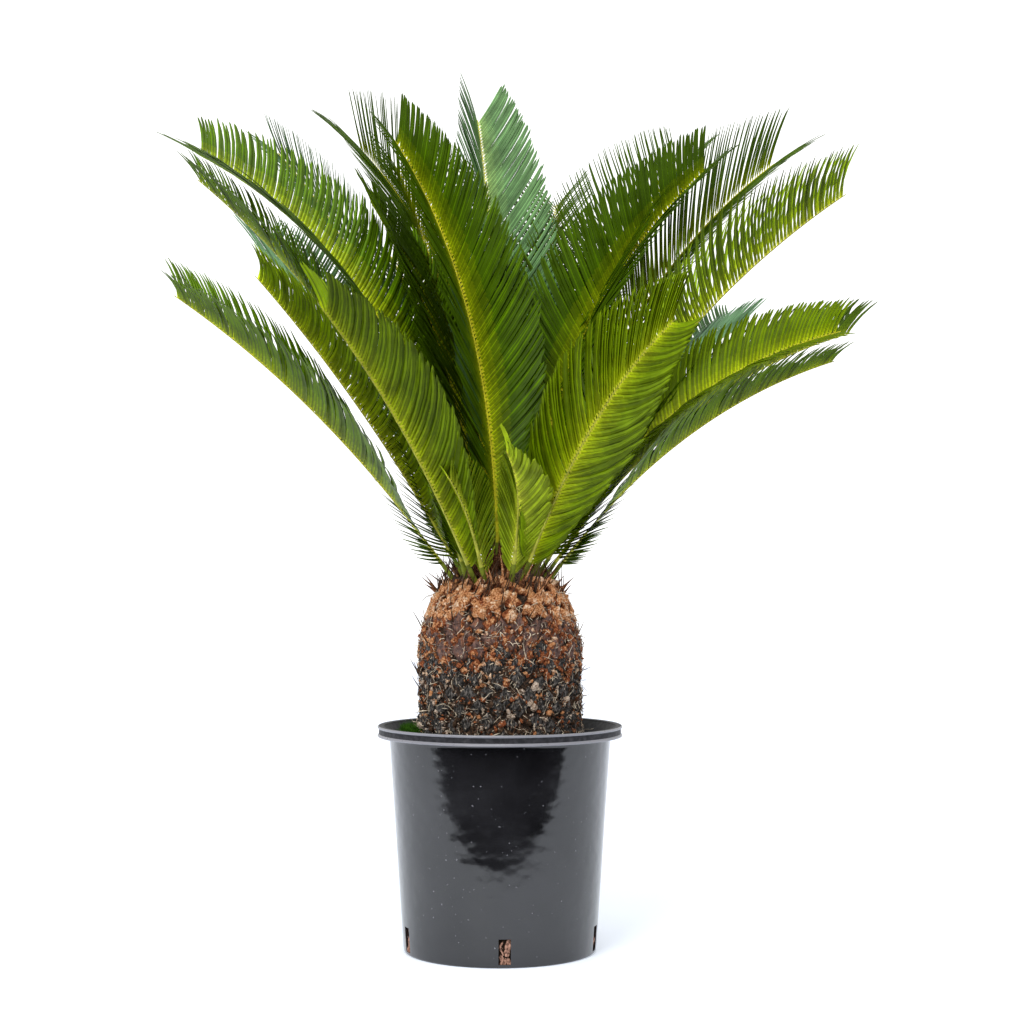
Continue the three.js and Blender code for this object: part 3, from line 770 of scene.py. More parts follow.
WOOL_PADS_ROUND = 17
WOOL_PAD_ROWS = 3
WOOL_TUFTS = 300
WOOL_CRUMBS = 5200
WOOL_SHADED_BELOW = shoulder - 6
WOOL_OLD_BELOW = 62
WOOL_FRESH_ABOVE = 90
WOOL_SUNK = 0.7
WOOL_ROUGH = 0.26
WOOL_GRAIN = 10
WOOL_SEED = 52


def mix(start, stop, share):
    return start + (stop - start) * share


def wool(name, dark, middle, light):
    stops = ((0.3, dark), (0.5, middle), (0.68, light))
    return grained(name, 0.95, (520, 4), stops, depth=0.003, specular_ior_level=0.1)


wool_cream = wool("wool_cream", (0.38, 0.17, 0.085), (0.78, 0.49, 0.31), (0.95, 0.82, 0.64))
wool_tan = wool("wool_tan", (0.2, 0.06, 0.02), (0.58, 0.25, 0.105), (0.9, 0.54, 0.3))
wool_rust = wool("wool_rust", (0.08, 0.018, 0.007), (0.27, 0.08, 0.032), (0.55, 0.21, 0.09))
wool_umber = wool("wool_umber", (0.02, 0.012, 0.008), (0.06, 0.035, 0.022), (0.14, 0.085, 0.055))
wool_bleached = wool("wool_bleached", (0.16, 0.105, 0.08), (0.5, 0.37, 0.28), (0.92, 0.83, 0.72))
wools = [wool_cream, wool_tan, wool_rust, wool_umber, wool_bleached]
CREAM, TAN, RUST, UMBER, BLEACHED = range(len(wools))

random = np.random.default_rng(WOOL_SEED)
pad_row = np.repeat(np.arange(WOOL_PAD_ROWS), WOOL_PADS_ROUND)
pad_column = np.tile(np.arange(WOOL_PADS_ROUND), WOOL_PAD_ROWS)
pad_climb = mix(shoulder + 1, brim + 6, pad_row / (WOOL_PAD_ROWS - 1))
pad_climb = pad_climb + random.normal(0, 2.5, pad_row.size)
pad_turn = (pad_column + 0.5 * pad_row) * 2 * math.pi / WOOL_PADS_ROUND
pad_turn = pad_turn + random.normal(0, 0.07, pad_row.size)
pad_sizes = random.uniform([10, 8, 5.5], [15, 13, 8.5], (pad_row.size, 3))
tuft_climb = random.uniform(waist, brim, WOOL_TUFTS)
tuft_turn = random.uniform(0, 2 * math.pi, WOOL_TUFTS)
tuft_sizes = random.uniform([2.5, 3, 1.8], [6, 7, 3.4], (WOOL_TUFTS, 3))


def felt_lumps(name, climb, turn, sizes, rings, sides):
    """Lumps folded out of the skin, with a painted highlight on their crests, painted shade in their
    clefts, and more painted shade below the shoulder.
    """
    centres, axes = skin(climb, turn)
    centres = centres - axes[:, 2] * (sizes[:, 2:] * WOOL_SUNK)
    points, faces = crumbs(random, centres, axes, sizes, WOOL_ROUGH, WOOL_GRAIN, rings, sides)
    size = len(points) // len(climb)
    out = np.repeat(axes[:, 2], size, axis=0)
    folds = 1 - np.abs(waves(points, scale=4.5, seed=53)) + 0.5 * waves(points, scale=2, seed=54)
    points += out * folds[:, None]
    lift = ((points - np.repeat(centres, size, axis=0)) * out).sum(-1)
    lift = lift / np.repeat(sizes[:, 2], size)
    lift = np.concatenate([lift[group].mean(1) for group in faces])
    shaded = each_face(climb < WOOL_SHADED_BELOW, faces)
    old = each_face(climb < WOOL_OLD_BELOW, faces)
    # Painted light: faces that stand out are cream or tan, or bleached on the old part, as a painted
    # highlight, and the clefts are rust or umber as painted shade; under the shoulder fewer faces
    # count as lit
    highlit_crest = lift > np.where(shaded, 1.6, 1.15)
    lit_flank = lift > np.where(shaded, 1.2, 0.62)
    slots = np.select([highlit_crest, lit_flank], [CREAM, TAN], RUST)
    slots = np.where(old, np.where(lit_flank, BLEACHED, UMBER), slots)
    lumps = make_piece(name, points * MM, faces, wools, slots)
    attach(lumps, "root")
    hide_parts("trunk")


felt_lumps("wool_pads", pad_climb, pad_turn, pad_sizes, rings=17, sides=26)
felt_lumps("wool_tufts", tuft_climb, tuft_turn, tuft_sizes, rings=9, sides=14)

pick = random.integers(0, row.size, WOOL_CRUMBS)
way = random.choice([-1, 1], WOOL_CRUMBS)
slide = random.uniform(-1, 1, WOOL_CRUMBS)
crumb_climb = scale_climb[pick] + SCALE_ROW_PITCH * (0.5 + 0.45 * slide)
crumb_climb = crumb_climb + random.normal(0, 1.3, WOOL_CRUMBS)
pitch_turn = 2 * math.pi / SCALES_ROUND
crumb_turn = scale_turn[pick] + way * pitch_turn * (0.25 - 0.25 * slide)
crumb_turn = crumb_turn + random.normal(0, 0.018, WOOL_CRUMBS)
crumb_climb = np.clip(crumb_climb, 0.5, None)
fallen = crumb_climb * random.uniform(0, 1, WOOL_CRUMBS)
crumb_climb = np.where(crumb_climb > bulge + 4, fallen, crumb_climb)
centres, axes = skin(crumb_climb, crumb_turn)
centres = centres + axes[:, 2] * random.uniform(-2.4, 1.6, (WOOL_CRUMBS, 1))
sizes = random.gamma(1.6, 0.6, (WOOL_CRUMBS, 1)).clip(0.35, 3.2)
sizes = sizes * random.uniform(0.4, 1.6, (WOOL_CRUMBS, 3))
frames = tumbled(random, WOOL_CRUMBS)
wool_points, wool_faces = crumbs(random, centres, frames, sizes, rough=0.35, grain=2)
clustered = waves(centres, scale=26, seed=56) + 0.6 * waves(centres, scale=9, seed=57)
fresh = np.interp(crumb_climb, [WOOL_OLD_BELOW, WOOL_FRESH_ABOVE], [0, 1])
old = fresh == 0
chance = random.uniform(0, 1, WOOL_CRUMBS)
crumb_slot = np.select(
    [
        chance < 0.3 - 0.34 * fresh + 0.3 * clustered,
        chance < 0.45 - 0.09 * fresh + 0.25 * clustered,
        chance < 0.56 + 0.4 * fresh,
    ],
    [np.where(old, BLEACHED, CREAM), np.where(old & (chance < 0.38), BLEACHED, TAN), RUST],
    UMBER,
)
crumb_slots = each_face(crumb_slot, wool_faces)
wool_crumbs = make_piece("wool_crumbs", wool_points * MM, wool_faces, wools, crumb_slots)
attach(wool_crumbs, "root")
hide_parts("trunk")

# --- Trunk: fibres and spines ------------------------------------------------------------
# Threads that the rotting leaf bases leave, cream or brown, lying every way in the clefts.
# Stiff dark spines stand out of the trunk's sides and ring the crown.

FIBRES = 3200
FIBRE_LONGEST = 26
FIBRE_SHORTEST = 2.5
SPINES = 210
SPINES_FROM = 25
FIBRE_SEED = 61


def threadlike(name, colour, roughness):
    paler = tuple(min(1, 1.7 * part) for part in colour)
    darker = tuple(0.45 * part for part in colour)
    stops = ((0.35, darker), (0.65, paler))
    return grained(name, roughness, (130, 3), stops, specular_ior_level=0.1)


fibre_cream = threadlike("fibre_cream", (0.62, 0.5, 0.38), 0.7)
fibre_brown = threadlike("fibre_brown", (0.1, 0.05, 0.03), 0.8)
spine_dark = threadlike("spine_dark", (0.055, 0.03, 0.018), 0.55)

random = np.random.default_rng(FIBRE_SEED)
fibre_climb = random.uniform(1, brim - 4, FIBRES)
fibre_turn = random.uniform(0, 2 * math.pi, FIBRES)
fibre_feet, fibre_axes = skin(fibre_climb, fibre_turn)
fibre_feet = fibre_feet + fibre_axes[:, 2] * random.uniform(0, 3.2, (FIBRES, 1))
spread = random.normal(size=(FIBRES, 3)) * [1, 1, 0.28]
fibre_ways = unit(np.einsum("ni,nij->nj", spread, fibre_axes))
fibre_lengths = random.gamma(2.2, 3.0, FIBRES).clip(FIBRE_SHORTEST, FIBRE_LONGEST)
fibre_lines = wander(random, fibre_feet, fibre_ways, fibre_lengths, bend=0.16, steps=7)
fibre_radii = np.outer(random.uniform(0.18, 0.5, FIBRES), [0.6, 1, 1, 1, 0.9, 0.7, 0.3])
fibre_points, fibre_faces = tubes(fibre_lines, fibre_radii, sides=3)
fibre_slot = random.choice([0, 1], FIBRES, p=[0.6, 0.4])
fibres = make_piece(
    "trunk_fibres",
    fibre_points * MM,
    fibre_faces,
    [fibre_cream, fibre_brown],
    each_face(fibre_slot, fibre_faces),
)
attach(fibres, "root")
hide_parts("trunk")

crown_spine = np.arange(SPINES) % 2 == 0
spine_climb = np.where(
    crown_spine,
    random.uniform(collar, brim + 14, SPINES),
    random.uniform(SPINES_FROM, collar, SPINES),
)
spine_feet, spine_axes = skin(spine_climb, random.uniform(0, 2 * math.pi, SPINES))
reach = np.where(crown_spine[:, None], [0.35, 1.0, 0.6], [0.3, 1.0, 0.55])
spread = reach * random.normal(1, 0.28, (SPINES, 3))
spine_ways = unit(np.einsum("ni,nij->nj", spread, spine_axes))
long_spines = random.uniform(16, 46, SPINES)
short_spines = random.gamma(3.4, 4.6, SPINES).clip(6, 34)
spine_lengths = np.where(crown_spine, long_spines, short_spines)
spine_lines = wander(random, spine_feet, spine_ways, spine_lengths, bend=0.03, steps=6)
spine_radii = np.outer(random.uniform(0.45, 0.8, SPINES), [1.2, 1.1, 1, 0.8, 0.5, 0.1])
spine_points, spine_faces = tubes(spine_lines, spine_radii, sides=5)
spines = make_piece("trunk_spines", spine_points * MM, spine_faces, [spine_dark])
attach(spines, "root")
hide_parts("trunk")

# --- Crown bracts ------------------------------------------------------------------------
# Narrow papery scale leaves that sheathe the young fronds. They stand between the fronds'
# feet, brown and hairy, and are rooted in the dome.

BRACTS = 170
BRACT_STEPS = 7
BRACT_SIDES = 6
BRACT_FLATTENED = 0.7
BRACT_LENGTHS = (10, 36)
BRACT_ROOT = 3
BRACT_SEED = 71

random = np.random.default_rng(BRACT_SEED)
bract_climb = random.uniform(collar, summit - 6, BRACTS)
bract_feet, _ = skin(bract_climb, random.uniform(0, 2 * math.pi, BRACTS))
bract_out = unit(bract_feet * [1, 1, 0])
splay = np.interp(np.hypot(bract_feet[:, 0], bract_feet[:, 1]), [0, 75], [0.05, 0.9])
bract_ways = UPRIGHT + bract_out * splay[:, None] + random.normal(0, 0.14, (BRACTS, 3))
bract_ways = unit(bract_ways)
bract_lengths = random.uniform(*BRACT_LENGTHS, BRACTS)
bract_feet = bract_feet - bract_ways * BRACT_ROOT
bract_lines = wander(random, bract_feet, bract_ways, bract_lengths, bend=0.05, steps=BRACT_STEPS)
bract_radii = np.outer(random.uniform(1.6, 3.4, BRACTS), [1, 1, 0.85, 0.62, 0.4, 0.2, 0.04])
bract_points, bract_faces = tubes(bract_lines, bract_radii, sides=BRACT_SIDES)
bract_points = bract_points.reshape(BRACTS, BRACT_STEPS, BRACT_SIDES, 3)
thin = (bract_points - bract_lines[:, :, None]) * bract_out[:, None, None]
thin = thin.sum(-1, keepdims=True) * BRACT_FLATTENED
bract_points = bract_points - bract_out[:, None, None] * thin
bract_brown = wool("bract_brown", (0.035, 0.013, 0.007), (0.13, 0.05, 0.024), (0.36, 0.17, 0.08))
bract_slot = random.choice([0, 1], BRACTS, p=[0.72, 0.28])
bracts = make_piece(
    "crown_bracts",
    bract_points.reshape(-1, 3) * MM,
    bract_faces,
    [bract_brown, wool_tan],
    each_face(bract_slot, bract_faces),
)
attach(bracts, "root")
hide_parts("trunk")

# --- Fronds: how they grow ---------------------------------------------------------------
# Each frond rises from its own place on the dome and arches outward. Its feet crowd each
# other apart, and its leaflets are short at the foot, longest at the middle and short again.

RIB_HALF_WIDTH = (4.2, 1.1)
RIB_HALF_DEPTH = (3.6, 1.1)
BLADE_HALF = 0.7
GAP = 0.3
BARE_SHARE = 0.05
BLADE_LENGTH = 0.24
FOOT_BLADE = 0.22
GROWTH_FROM = 0.03
GROWTH_TO = 0.45
FADE_FROM = 0.5
FADE_CURVE = 1.6
TIP_BLADE = 0.5
TIP_LEAN = 0.8
CURVE = 1.3
ROLL_CURVE = 0.5
FOOT_SPACING = 11
CROWDING_ROUNDS = 60
FINE_STEPS = 80

# Bow is how far a leaflet swings out toward the foot on its way, and hump how far it rises.
Frond = namedtuple(
    "Frond",
    "turn rise tip_rise drift length blade lean vee roll foot tint bow hump blunt wide",
    defaults=(None, "deep", 0.05, 0.035, 0.2, 0.95),
)
# Fronds of the pale bluish tint carry a painted backlight
FRONDS = [
    Frond(-72, 53, 33, 0, 431, 1.11, 64, 28, -21, None, "deep", 0.06, 0.05, 0, 0.8),
    Frond(-66, 58, 48, -12, 393, 1.15, 66, 28, -13, None, "olive", 0.11, 0.06, 0.3, 0.85),
    Frond(-96, 76, 28, -6, 586, 0.96, 64, 24, -24, None, "deep", 0.05, 0.035, 0.35, 0.9),
    Frond(-83, 67, 39, 2, 523, 0.96, 62, 18, -15, None, "deep", 0.05, 0.035, 0.2, 0.62),
    Frond(-135, 67, 38, -3, 645, 0.7, 64, 68, -52, None, "hazy", 0.05, 0.035, 0.3, 0.92),
    Frond(-149, 79, 33, 7, 615, 1.1, 57, 62, -38, None, "deep", 0.05, 0.035, 0.3, 0.88),
    Frond(-123, 80, 57, 16, 443, 1.03, 53, 15, 6, None, "deep", 0.08, 0.035, 0.6, 0.95),
    Frond(-127, 88, 57, 20, 505, 0.94, 51, 52, -50, None, "deep", 0.05, 0.035, 0.8, 1.1),
    Frond(-177, 76, 61, 12, 580, 0.97, 42, 36, 18, None, "hazy", 0.05, 0.035, 0.7, 1.05),
    Frond(125, 76, 41, -15, 540, 0.85, 59, 50, 43, None, "deep", 0.05, 0.035, 0.7, 1.1),
    Frond(138, 73, 32, 10, 615, 0.95, 60, 49, 16, None, "deep", 0.05, 0.035, 0.3, 0.8),
    Frond(128, 67, 35, -10, 625, 1.06, 44, 50, 48, None, "deep", 0.05, 0.035, 0, 0.78),
    Frond(68, 62, 31, 1, 531, 1.15, 67, 38, 14, None, "olive", 0.05, 0.035, 0, 0.64),
    Frond(83, 58, 12, -14, 432, 0.76, 60, 34, 55, None, "olive", 0.06, 0.05, 0.4, 0.95),
    Frond(84, 53, 17, 0, 399, 0.94, 60, 22, 2, None, "deep", 0.05, 0.05, 0, 0.7),
    Frond(28, 52, 25, 3, 393, 1.25, 35, -10, -96, None, "olive", 0.07, 0.03, 0.6, 1),
    Frond(-28, 49, 32, -1, 400, 1.13, 36, 43, -25, None, "olive", 0.08, 0.04, 0.6, 1),
    Frond(-17, 54, 36, -10, 152, 1.62, 54, 56, 17, 56, "fresh", 0.05, 0.07, 1, 1.1),
    Frond(13, 60, 45, -45, 168, 1.6, 36, 18, -58, 56, "fresh", 0.06, 0.07, 1, 1.1),
    Frond(-44, 68, 56, 0, 150, 1, 66, 30, 0, 52, "deep", 0.1, 0.09, 1, 0.95),
    Frond(180, 58, 28, 0, 520, 1, 66, 40, 0),
    Frond(156, 64, 36, 0, 540, 1, 66, 38, 0),
    Frond(-158, 62, 34, 0, 530, 1, 66, 38, 0),
    Frond(130, 56, 24, 0, 455, 1, 66, 38, 0, None, "hazy"),
    Frond(-132, 60, 32, 0, 540, 1, 66, 40, 0, None, "hazy"),
    Frond(104, 54, 16, 0, 470, 1, 66, 40, 0),
    Frond(166, 72, 46, 0, 520, 1, 66, 36, 0),
    Frond(-150, 76, 50, 0, 540, 1, 66, 36, 0),
    Frond(160, 48, 16, 0, 460, 1, 66, 40, 0),
    Frond(-170, 50, 20, 0, 460, 1, 66, 40, 0),
    Frond(-148, 50, 22, 0, 470, 1, 66, 40, 0),
]


def frond_axes(frond, share):
    """Along the rib, out of the frond's face, and across it, at shares of the way up."""
    rise = np.radians(mix(frond.rise, frond.tip_rise, share**CURVE))
    turn = np.radians(frond.turn + frond.drift * share**2)
    out = np.stack([np.sin(turn), -np.cos(turn), np.zeros_like(turn)], -1)
    along = out * np.cos(rise)[..., None] + UPRIGHT * np.sin(rise)[..., None]
    face = -out * np.sin(rise)[..., None] + UPRIGHT * np.cos(rise)[..., None]
    roll = np.radians(frond.roll) * share[..., None] ** ROLL_CURVE
    face = face * np.cos(roll) + np.cross(along, face) * np.sin(roll)
    return along, face, np.cross(along, face)


def place_feet():
    """Each frond's foot on the plan, pushed apart until none is closer than the spacing."""
    feet = []
    for frond in FRONDS:
        radius = frond.foot or DOME_RADIUS * math.cos(math.radians(frond.rise))
        feet.append(around(radius, math.radians(frond.turn), 0)[:2])
    for _ in range(CROWDING_ROUNDS):
        for one in range(len(feet)):
            for other in range(one):
                apart = feet[one] - feet[other]
                gap = np.linalg.norm(apart)
                if gap < FOOT_SPACING:
                    push = apart / gap * (FOOT_SPACING - gap) / 2
                    feet[one] = feet[one] + push
                    feet[other] = feet[other] - push
    return feet


def rib_points(frond, foot):
    """Points up a rib from the dome, on which its foot stands clear by the gap."""
    on_dome = np.array([*foot, float(dome_height(np.linalg.norm(foot)))])
    normal = unit(on_dome - [0, 0, DOME_CENTRE])
    along, face, across = frond_axes(frond, np.zeros(1))
    width, depth = RIB_HALF_WIDTH[0], RIB_HALF_DEPTH[0]
    corners = [(0, -depth), (width, -BLADE_HALF), (width, BLADE_HALF), (0, depth)]
    corners += [(-width, BLADE_HALF), (-width, -BLADE_HALF)]
    clear = GAP + max(-(across[0] * x + face[0] * y) @ normal for x, y in corners)
    middle = (np.arange(FINE_STEPS) + 0.5) / FINE_STEPS
    steps = frond_axes(frond, middle)[0] * frond.length / FINE_STEPS
    start = on_dome + normal * clear
    return np.concatenate([[start], start + np.cumsum(steps, axis=0)])


def on_rib(rib, share):
    """Points on a rib at shares of the way up."""
    marks = np.linspace(0, 1, FINE_STEPS + 1)
    return np.stack([np.interp(share, marks, rib[:, k]) for k in range(3)], -1)


def leaflet_length(frond, share):
    growth = np.clip((share - GROWTH_FROM) / (GROWTH_TO - GROWTH_FROM), 0, 1)
    fading = np.clip((share - FADE_FROM) / (1 - FADE_FROM), 0, 1) ** FADE_CURVE
    grown = mix(FOOT_BLADE, 1, np.sin(growth * math.pi / 2))
    return BLADE_LENGTH * frond.length * frond.blade * grown * mix(1, TIP_BLADE, fading)


ribs = [rib_points(frond, foot) for frond, foot in zip(FRONDS, place_feet())]
frond_names = [f"frond_{number:02d}" for number in range(1, len(FRONDS) + 1)]

# --- Fronds: ribs ------------------------------------------------------------------------
# A stiff woody rib, keeled below and flat above. Its upper face is yellow between the two
# rows of leaflets, its back pale olive, and its swollen foot is sunk in the crown's wool.

RIB_STEPS = 48
RIB_ROOT = 9
RIB_SLIM = 1.05
RIB_STOUT = 2.9
RIB_STOUT_REACH = 42
RIB_TIP = 0.5
RIB_BASE_REACH = 18
# The outline as shares of half width and half depth. Its first four faces are the yellow ones.
RIB_TOP = [(-0.9, 0.35), (-0.45, 0.6), (0, 0.45), (0.45, 0.6), (0.9, 0.35)]
RIB_KEEL = [(0.85, -0.35), (0.45, -0.85), (0, -1.0), (-0.45, -0.85), (-0.85, -0.35)]
RIB_OUTLINE = np.array(RIB_TOP + RIB_KEEL)
YELLOW_FACES = 4
RIB_SHARP = 50


def slim_rib(frond, share):
    """Half the rib's width in mm: stout for a finger's length, then slim to the tip."""
    stout = RIB_STOUT * np.exp(-share * frond.length / RIB_STOUT_REACH)
    return (RIB_SLIM + stout) * mix(1, RIB_TIP, share)


def speckled(name, colour, roughness, scale, spread, **values):
    """A finish whose colour wanders between a darker and a paler shade of itself."""
    darker = tuple((1 - spread) * part for part in colour)
    paler = tuple(min(1, (1 + spread) * part) for part in colour)
    return grained(name, roughness, (scale, 3), ((0.32, darker), (0.68, paler)), **values)


rib_yellow = speckled("rib_yellow", (0.5, 0.46, 0.02), 0.5, 160, 0.35, specular_ior_level=0.15)
rib_olive = speckled("rib_olive", (0.45, 0.46, 0.06), 0.5, 120, 0.3, specular_ior_level=0.15)
rib_base = speckled("rib_base", (0.17, 0.21, 0.02), 0.6, 130, 0.4, specular_ior_level=0.15)

points, faces, slots = [], [], []
ring = len(RIB_OUTLINE)
for frond, fine in zip(FRONDS, ribs):
    share = np.linspace(0, 1, RIB_STEPS + 1)
    along, face, across = frond_axes(frond, share)
    line = on_rib(fine, share)
    line = np.concatenate([[line[0] - along[0] * RIB_ROOT], line])
    share = np.concatenate([[0], share])
    face = np.concatenate([face[:1], face])
    across = np.concatenate([across[:1], across])
    width = slim_rib(frond, share)
    depth = width * mix(0.9, 1.1, share)
    offset = (
        across[:, None] * (RIB_OUTLINE[:, 0] * width[:, None])[..., None]
        + face[:, None] * (RIB_OUTLINE[:, 1] * depth[:, None])[..., None]
    )
    start = sum(len(group) for group in points)
    points.append((line[:, None] + offset).reshape(-1, 3))
    faces.append(grid_faces(RIB_STEPS + 2, ring, wrap=True) + start)
    column = np.tile(np.arange(ring), RIB_STEPS + 1)
    climbed = np.repeat(share[:-1], ring) * frond.length
    slots.append(np.where(climbed < RIB_BASE_REACH, 2, np.where(column < YELLOW_FACES, 0, 1)))
rib_piece = make_piece(
    "frond_ribs",
    np.concatenate(points) * MM,
    [np.concatenate(faces)],
    [rib_yellow, rib_olive, rib_base],
    np.concatenate(slots),
    RIB_SHARP,
)
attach(rib_piece, "root")
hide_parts(*frond_names)

# --- Fronds: leaflets --------------------------------------------------------------------
# Stiff narrow blades with a raised midrib, rolled edges and a sharp tip, set close together
# in two rows. They are yellow where they join the rib, glossy green above, paler below.

LEAFLET_PITCH = 4.5
LEAFLET_WIDTH = (6.2, 4.4)
LEAFLET_FOLD = 1.1
LEAFLET_THICK = 0.4
LEAFLET_ROLL = 14
LEAFLET_SHARP = 60
LEAFLET_MARKS = np.array([0, 0.03, 0.1, 0.19, 0.32, 0.56, 0.8, 0.95])
SHARP_WIDTHS = np.array([0.45, 0.8, 0.98, 1.0, 1.0, 0.9, 0.62, 0.28])
BLUNT_WIDTHS = np.array([0.45, 0.8, 0.98, 1.0, 1.0, 1.0, 0.95, 0.72])
LEAFLET_ZONES = np.array([0, 1, 2, 3, 4, 4, 4])
LEAFLET_SEED = 83
STAGGER = 0.25
LAST_SHARE = 0.995
FULL_WIDTH_FROM = 50
BUNCH_PULL = 0.24
SLIT_SHARE = 0.06
SLIT_TURN = 1.8
DARK_SHARE = 0.16
SPINE_DROOP = 72
SPINE_REACH = 0.18
# The deep green fronds up to this place in the table make one mesh, and the rest another
DEEP_SPLIT = 14

# For each tint, the colour at the rib, then of the upper side and of the back, near and far
TINTS = {
    "deep": (
        (0.52, 0.5, 0.02),
        ((0.28, 0.35, 0.003), (0.068, 0.138, 0.001)),
        ((0.24, 0.31, 0.004), (0.095, 0.168, 0.002)),
    ),
    "olive": (
        (0.55, 0.55, 0.04),
        ((0.38, 0.46, 0.006), (0.17, 0.265, 0.002)),
        ((0.35, 0.43, 0.006), (0.16, 0.25, 0.002)),
    ),
    "fresh": (
        (0.66, 0.68, 0.06),
        ((0.62, 0.71, 0.04), (0.33, 0.45, 0.016)),
        ((0.6, 0.69, 0.04), (0.35, 0.47, 0.018)),
    ),
    # Far fronds are painted pale and bluish: a painted glow of the light behind them, not their own
    # colour
    "hazy": (
        (0.6, 0.62, 0.3),
        ((0.26, 0.41, 0.13), (0.125, 0.25, 0.092)),
        ((0.23, 0.39, 0.16), (0.145, 0.28, 0.122)),
    ),
}
# How much of the near colour each zone past the root still has, and the two halves' tones: a painted
# highlight on the lit half and painted shade on the other
GLOWS = (1, 0.55, 0.22, 0)
LIT_AND_SHADED_TONES = (1.22, 0.6)
# Material slots: the root's, then a lit one and one in painted shade for each zone of the face and
# back
FACE_SLOT = 1
BACK_SLOT = FACE_SLOT + len(LIT_AND_SHADED_TONES) * len(GLOWS)

# One leaflet: a ring of left edge, crest, right edge and keel at each mark, then its tip
rows = len(LEAFLET_MARKS)
corner = np.arange(4)
leaflet_quads = grid_faces(rows, 4, wrap=True)
last = (rows - 1) * 4
leaflet_tips = np.stack([last + corner, last + (corner + 1) % 4, np.full(4, rows * 4)], -1)
ring_slots = np.array([FACE_SLOT, FACE_SLOT, BACK_SLOT, BACK_SLOT])
zone = np.repeat(LEAFLET_ZONES, 4)
leaflet_slots = len(LIT_AND_SHADED_TONES) * (zone - 1) + np.tile(ring_slots, rows - 1)
leaflet_slots = np.where(zone == 0, 0, leaflet_slots)
leaflet_tip_slots = len(LIT_AND_SHADED_TONES) * (LEAFLET_ZONES[-1] - 1) + ring_slots
left_half = np.tile([True, False, False, True], rows - 1)


def bunched(random, count):
    """Degrees that draw the tips of each two to six neighbours together, and open slits."""
    sizes = random.integers(2, 7, count)
    group = np.repeat(np.arange(count), sizes)[:count]
    place = np.arange(count)
    middle = np.array([place[group == one].mean() for one in range(group[-1] + 1)])
    slit = np.where(random.random(count) < SLIT_SHARE, SLIT_TURN, 0) * random.uniform(-1, 1, count)
    return (middle[group] - place) * BUNCH_PULL + slit


def leaflet_axes(frond, axes, share, side, random):
    """Each leaflet's way, the normal of its face, its width's way, and the way that it bows."""
    count = len(share)
    along, face, across = axes
    lean = frond.lean * mix(1, TIP_LEAN, share) + bunched(random, count)
    lean = np.radians(lean + random.normal(0, 0.5, count))[:, None]
    sideward = math.sin(math.radians(frond.turn)) ** 2
    droop = SPINE_DROOP * sideward * np.exp(-(share - BARE_SHARE) / SPINE_REACH)
    vee = np.radians(frond.vee - droop + random.normal(0, 1.2, count))[:, None]
    sideways = across * (side * np.cos(vee)) + face * np.sin(vee)
    way = along * np.cos(lean) + sideways * np.sin(lean)
    flat = unit(np.cross(way, along) * side)
    wide = np.cross(flat, way)
    outward = wide * np.sign(-(wide * along).sum(-1, keepdims=True))
    roll = np.radians(LEAFLET_ROLL + random.normal(0, 3, count))[:, None] * side
    up = flat * np.cos(roll) + wide * np.sin(roll)
    return way, up, np.cross(up, way), outward


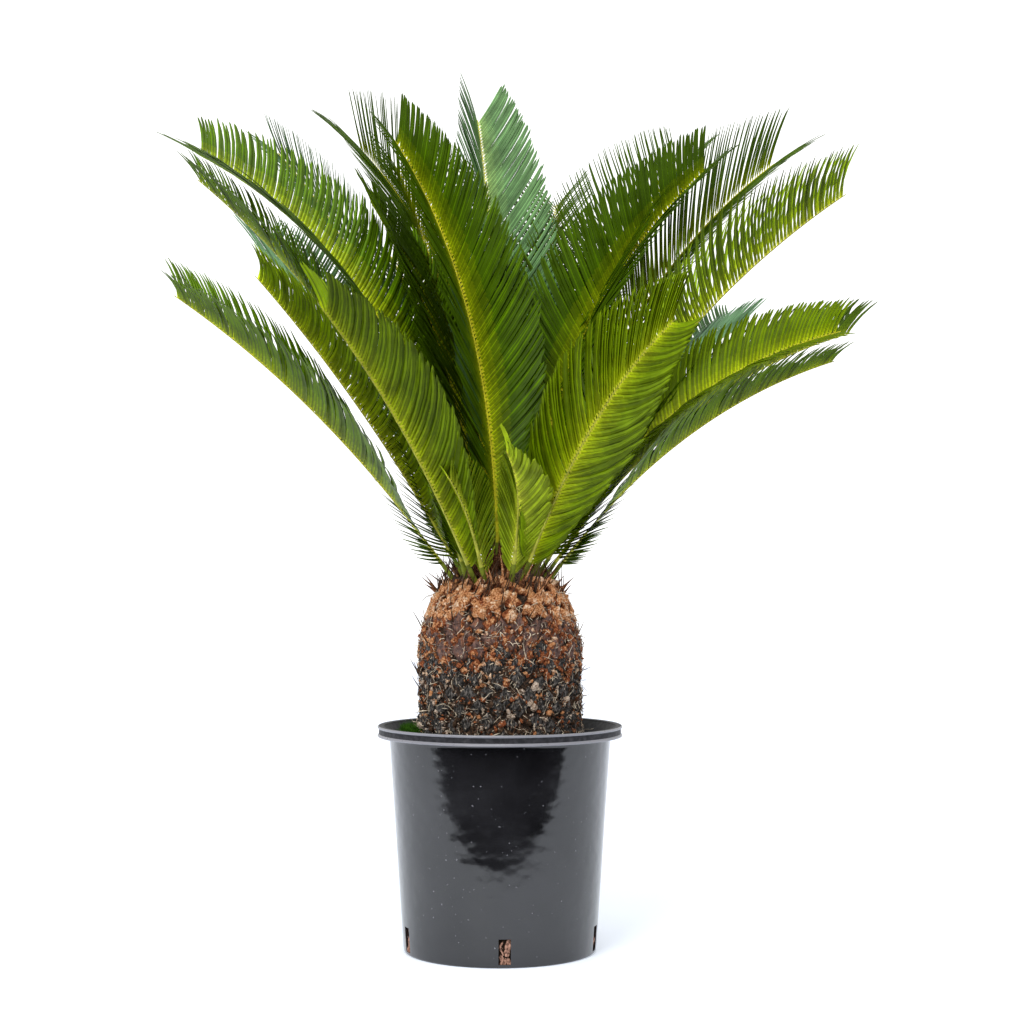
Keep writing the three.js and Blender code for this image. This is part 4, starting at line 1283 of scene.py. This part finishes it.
def leaflets(frond, rib, random):
    """The points of one frond's leaflets, in mm, their faces, and each face's material slot."""
    count = int(frond.length * (1 - BARE_SHARE) / LEAFLET_PITCH)
    widths = mix(SHARP_WIDTHS, BLUNT_WIDTHS, frond.blunt)
    swing = 4 * LEAFLET_MARKS * (1 - LEAFLET_MARKS)
    parts = []
    for side in (-1, 1):
        step = np.arange(count) + 0.5 + STAGGER * side + random.normal(0, 0.08, count)
        share = np.clip(mix(BARE_SHARE, 1, step / (count + 1)), BARE_SHARE, LAST_SHARE)
        axes = frond_axes(frond, share)
        along, face, across = axes
        half_rib = slim_rib(frond, share)[:, None]
        place = on_rib(rib, share) + (across * side * 0.6 + face * 0.3) * half_rib
        way, up, wide, outward = leaflet_axes(frond, axes, share, side, random)
        length = leaflet_length(frond, share) * random.uniform(0.93, 1.0, count)
        bow = frond.bow * random.uniform(0.8, 1.2, count)
        hump = frond.hump * random.uniform(0.75, 1.25, count)
        curl = outward * bow[:, None] + up * hump[:, None]
        line = way[:, None] * LEAFLET_MARKS[:, None] + curl[:, None] * swing[:, None]
        line = place[:, None] + line * length[:, None, None]
        tip = place + way * length[:, None]
        broad = frond.wide * mix(*LEAFLET_WIDTH, share) / 2
        broad = broad * np.clip(length / FULL_WIDTH_FROM, 0.6, 1)
        edge = wide[:, None] * (broad[:, None] * widths)[..., None]
        drop = up[:, None] * (LEAFLET_FOLD * widths)[:, None]
        keel = up[:, None] * LEAFLET_THICK
        rings = np.stack([line - edge - drop, line, line + edge - drop, line - keel], 2)
        points = np.concatenate([rings.reshape(count, -1, 3), tip[:, None]], axis=1)
        size = points.shape[1]
        start = len(parts) * count * size
        # Painted shade: each leaflet's half toward the rib's foot takes the dark tone, and a random
        # share of leaflets takes it all over as a darker tone of their own
        toward_tip = (wide * along).sum(-1, keepdims=True) > 0
        darker = (random.random(count) < DARK_SHARE)[:, None]
        shaded = darker | (left_half == toward_tip)
        part = [
            points.reshape(-1, 3),
            repeated(leaflet_quads, count, size) + start,
            repeated(leaflet_tips, count, size) + start,
            np.where(leaflet_slots > 0, leaflet_slots + shaded, 0).ravel(),
            (leaflet_tip_slots + shaded[:, :4]).ravel(),
        ]
        parts.append(part)
    return [np.concatenate(both) for both in zip(*parts)]


def leaf_finishes(tint):
    """The root's finish, then those of the face and the back, zone by zone, lit and in painted
    shade.
    """
    root, *sides = TINTS[tint]
    finishes = [speckled(f"leaflet_{tint}_root", root, 0.5, 38, 0.25, specular_ior_level=0.1)]
    for side, (near, far) in zip(("face", "back"), sides):
        for zone, glow in enumerate(GLOWS):
            for tone, shade in zip(("light", "dark"), LIT_AND_SHADED_TONES):
                colour = tuple(shade * mix(b, a, glow) for a, b in zip(near, far))
                name = f"leaflet_{tint}_{side}_{zone}_{tone}"
                finishes.append(speckled(name, colour, 0.42, 38, 0.25, specular_ior_level=0.07))
    return finishes


random = np.random.default_rng(LEAFLET_SEED)
grown = [leaflets(frond, rib, random) for frond, rib in zip(FRONDS, ribs)]
groups = {}
for index, frond in enumerate(FRONDS):
    group = frond.tint
    if group == "deep":
        group += "_a" if index < DEEP_SPLIT else "_b"
    groups.setdefault(group, []).append(index)
tint_finishes = {tint: leaf_finishes(tint) for tint in TINTS}
for group, members in groups.items():
    points, quads, tips, quad_slots, tip_slots = zip(*[grown[index] for index in members])
    starts = np.cumsum([0] + [len(part) for part in points])
    piece = make_piece(
        f"leaflets_{group}",
        np.concatenate(points) * MM,
        [
            np.concatenate([part + start for part, start in zip(quads, starts)]),
            np.concatenate([part + start for part, start in zip(tips, starts)]),
        ],
        tint_finishes[group.split("_")[0]],
        np.concatenate(quad_slots + tip_slots),
        LEAFLET_SHARP,
    )
    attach(piece, "root")
    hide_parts(*[frond_names[index] for index in members])

# --- Sizes -------------------------------------------------------------------------------
# The frame's box and the dressed plant's box.

low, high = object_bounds()
sizes = {"cad": [list(cad_low), list(cad_high)], "visual": [list(low), list(high)]}
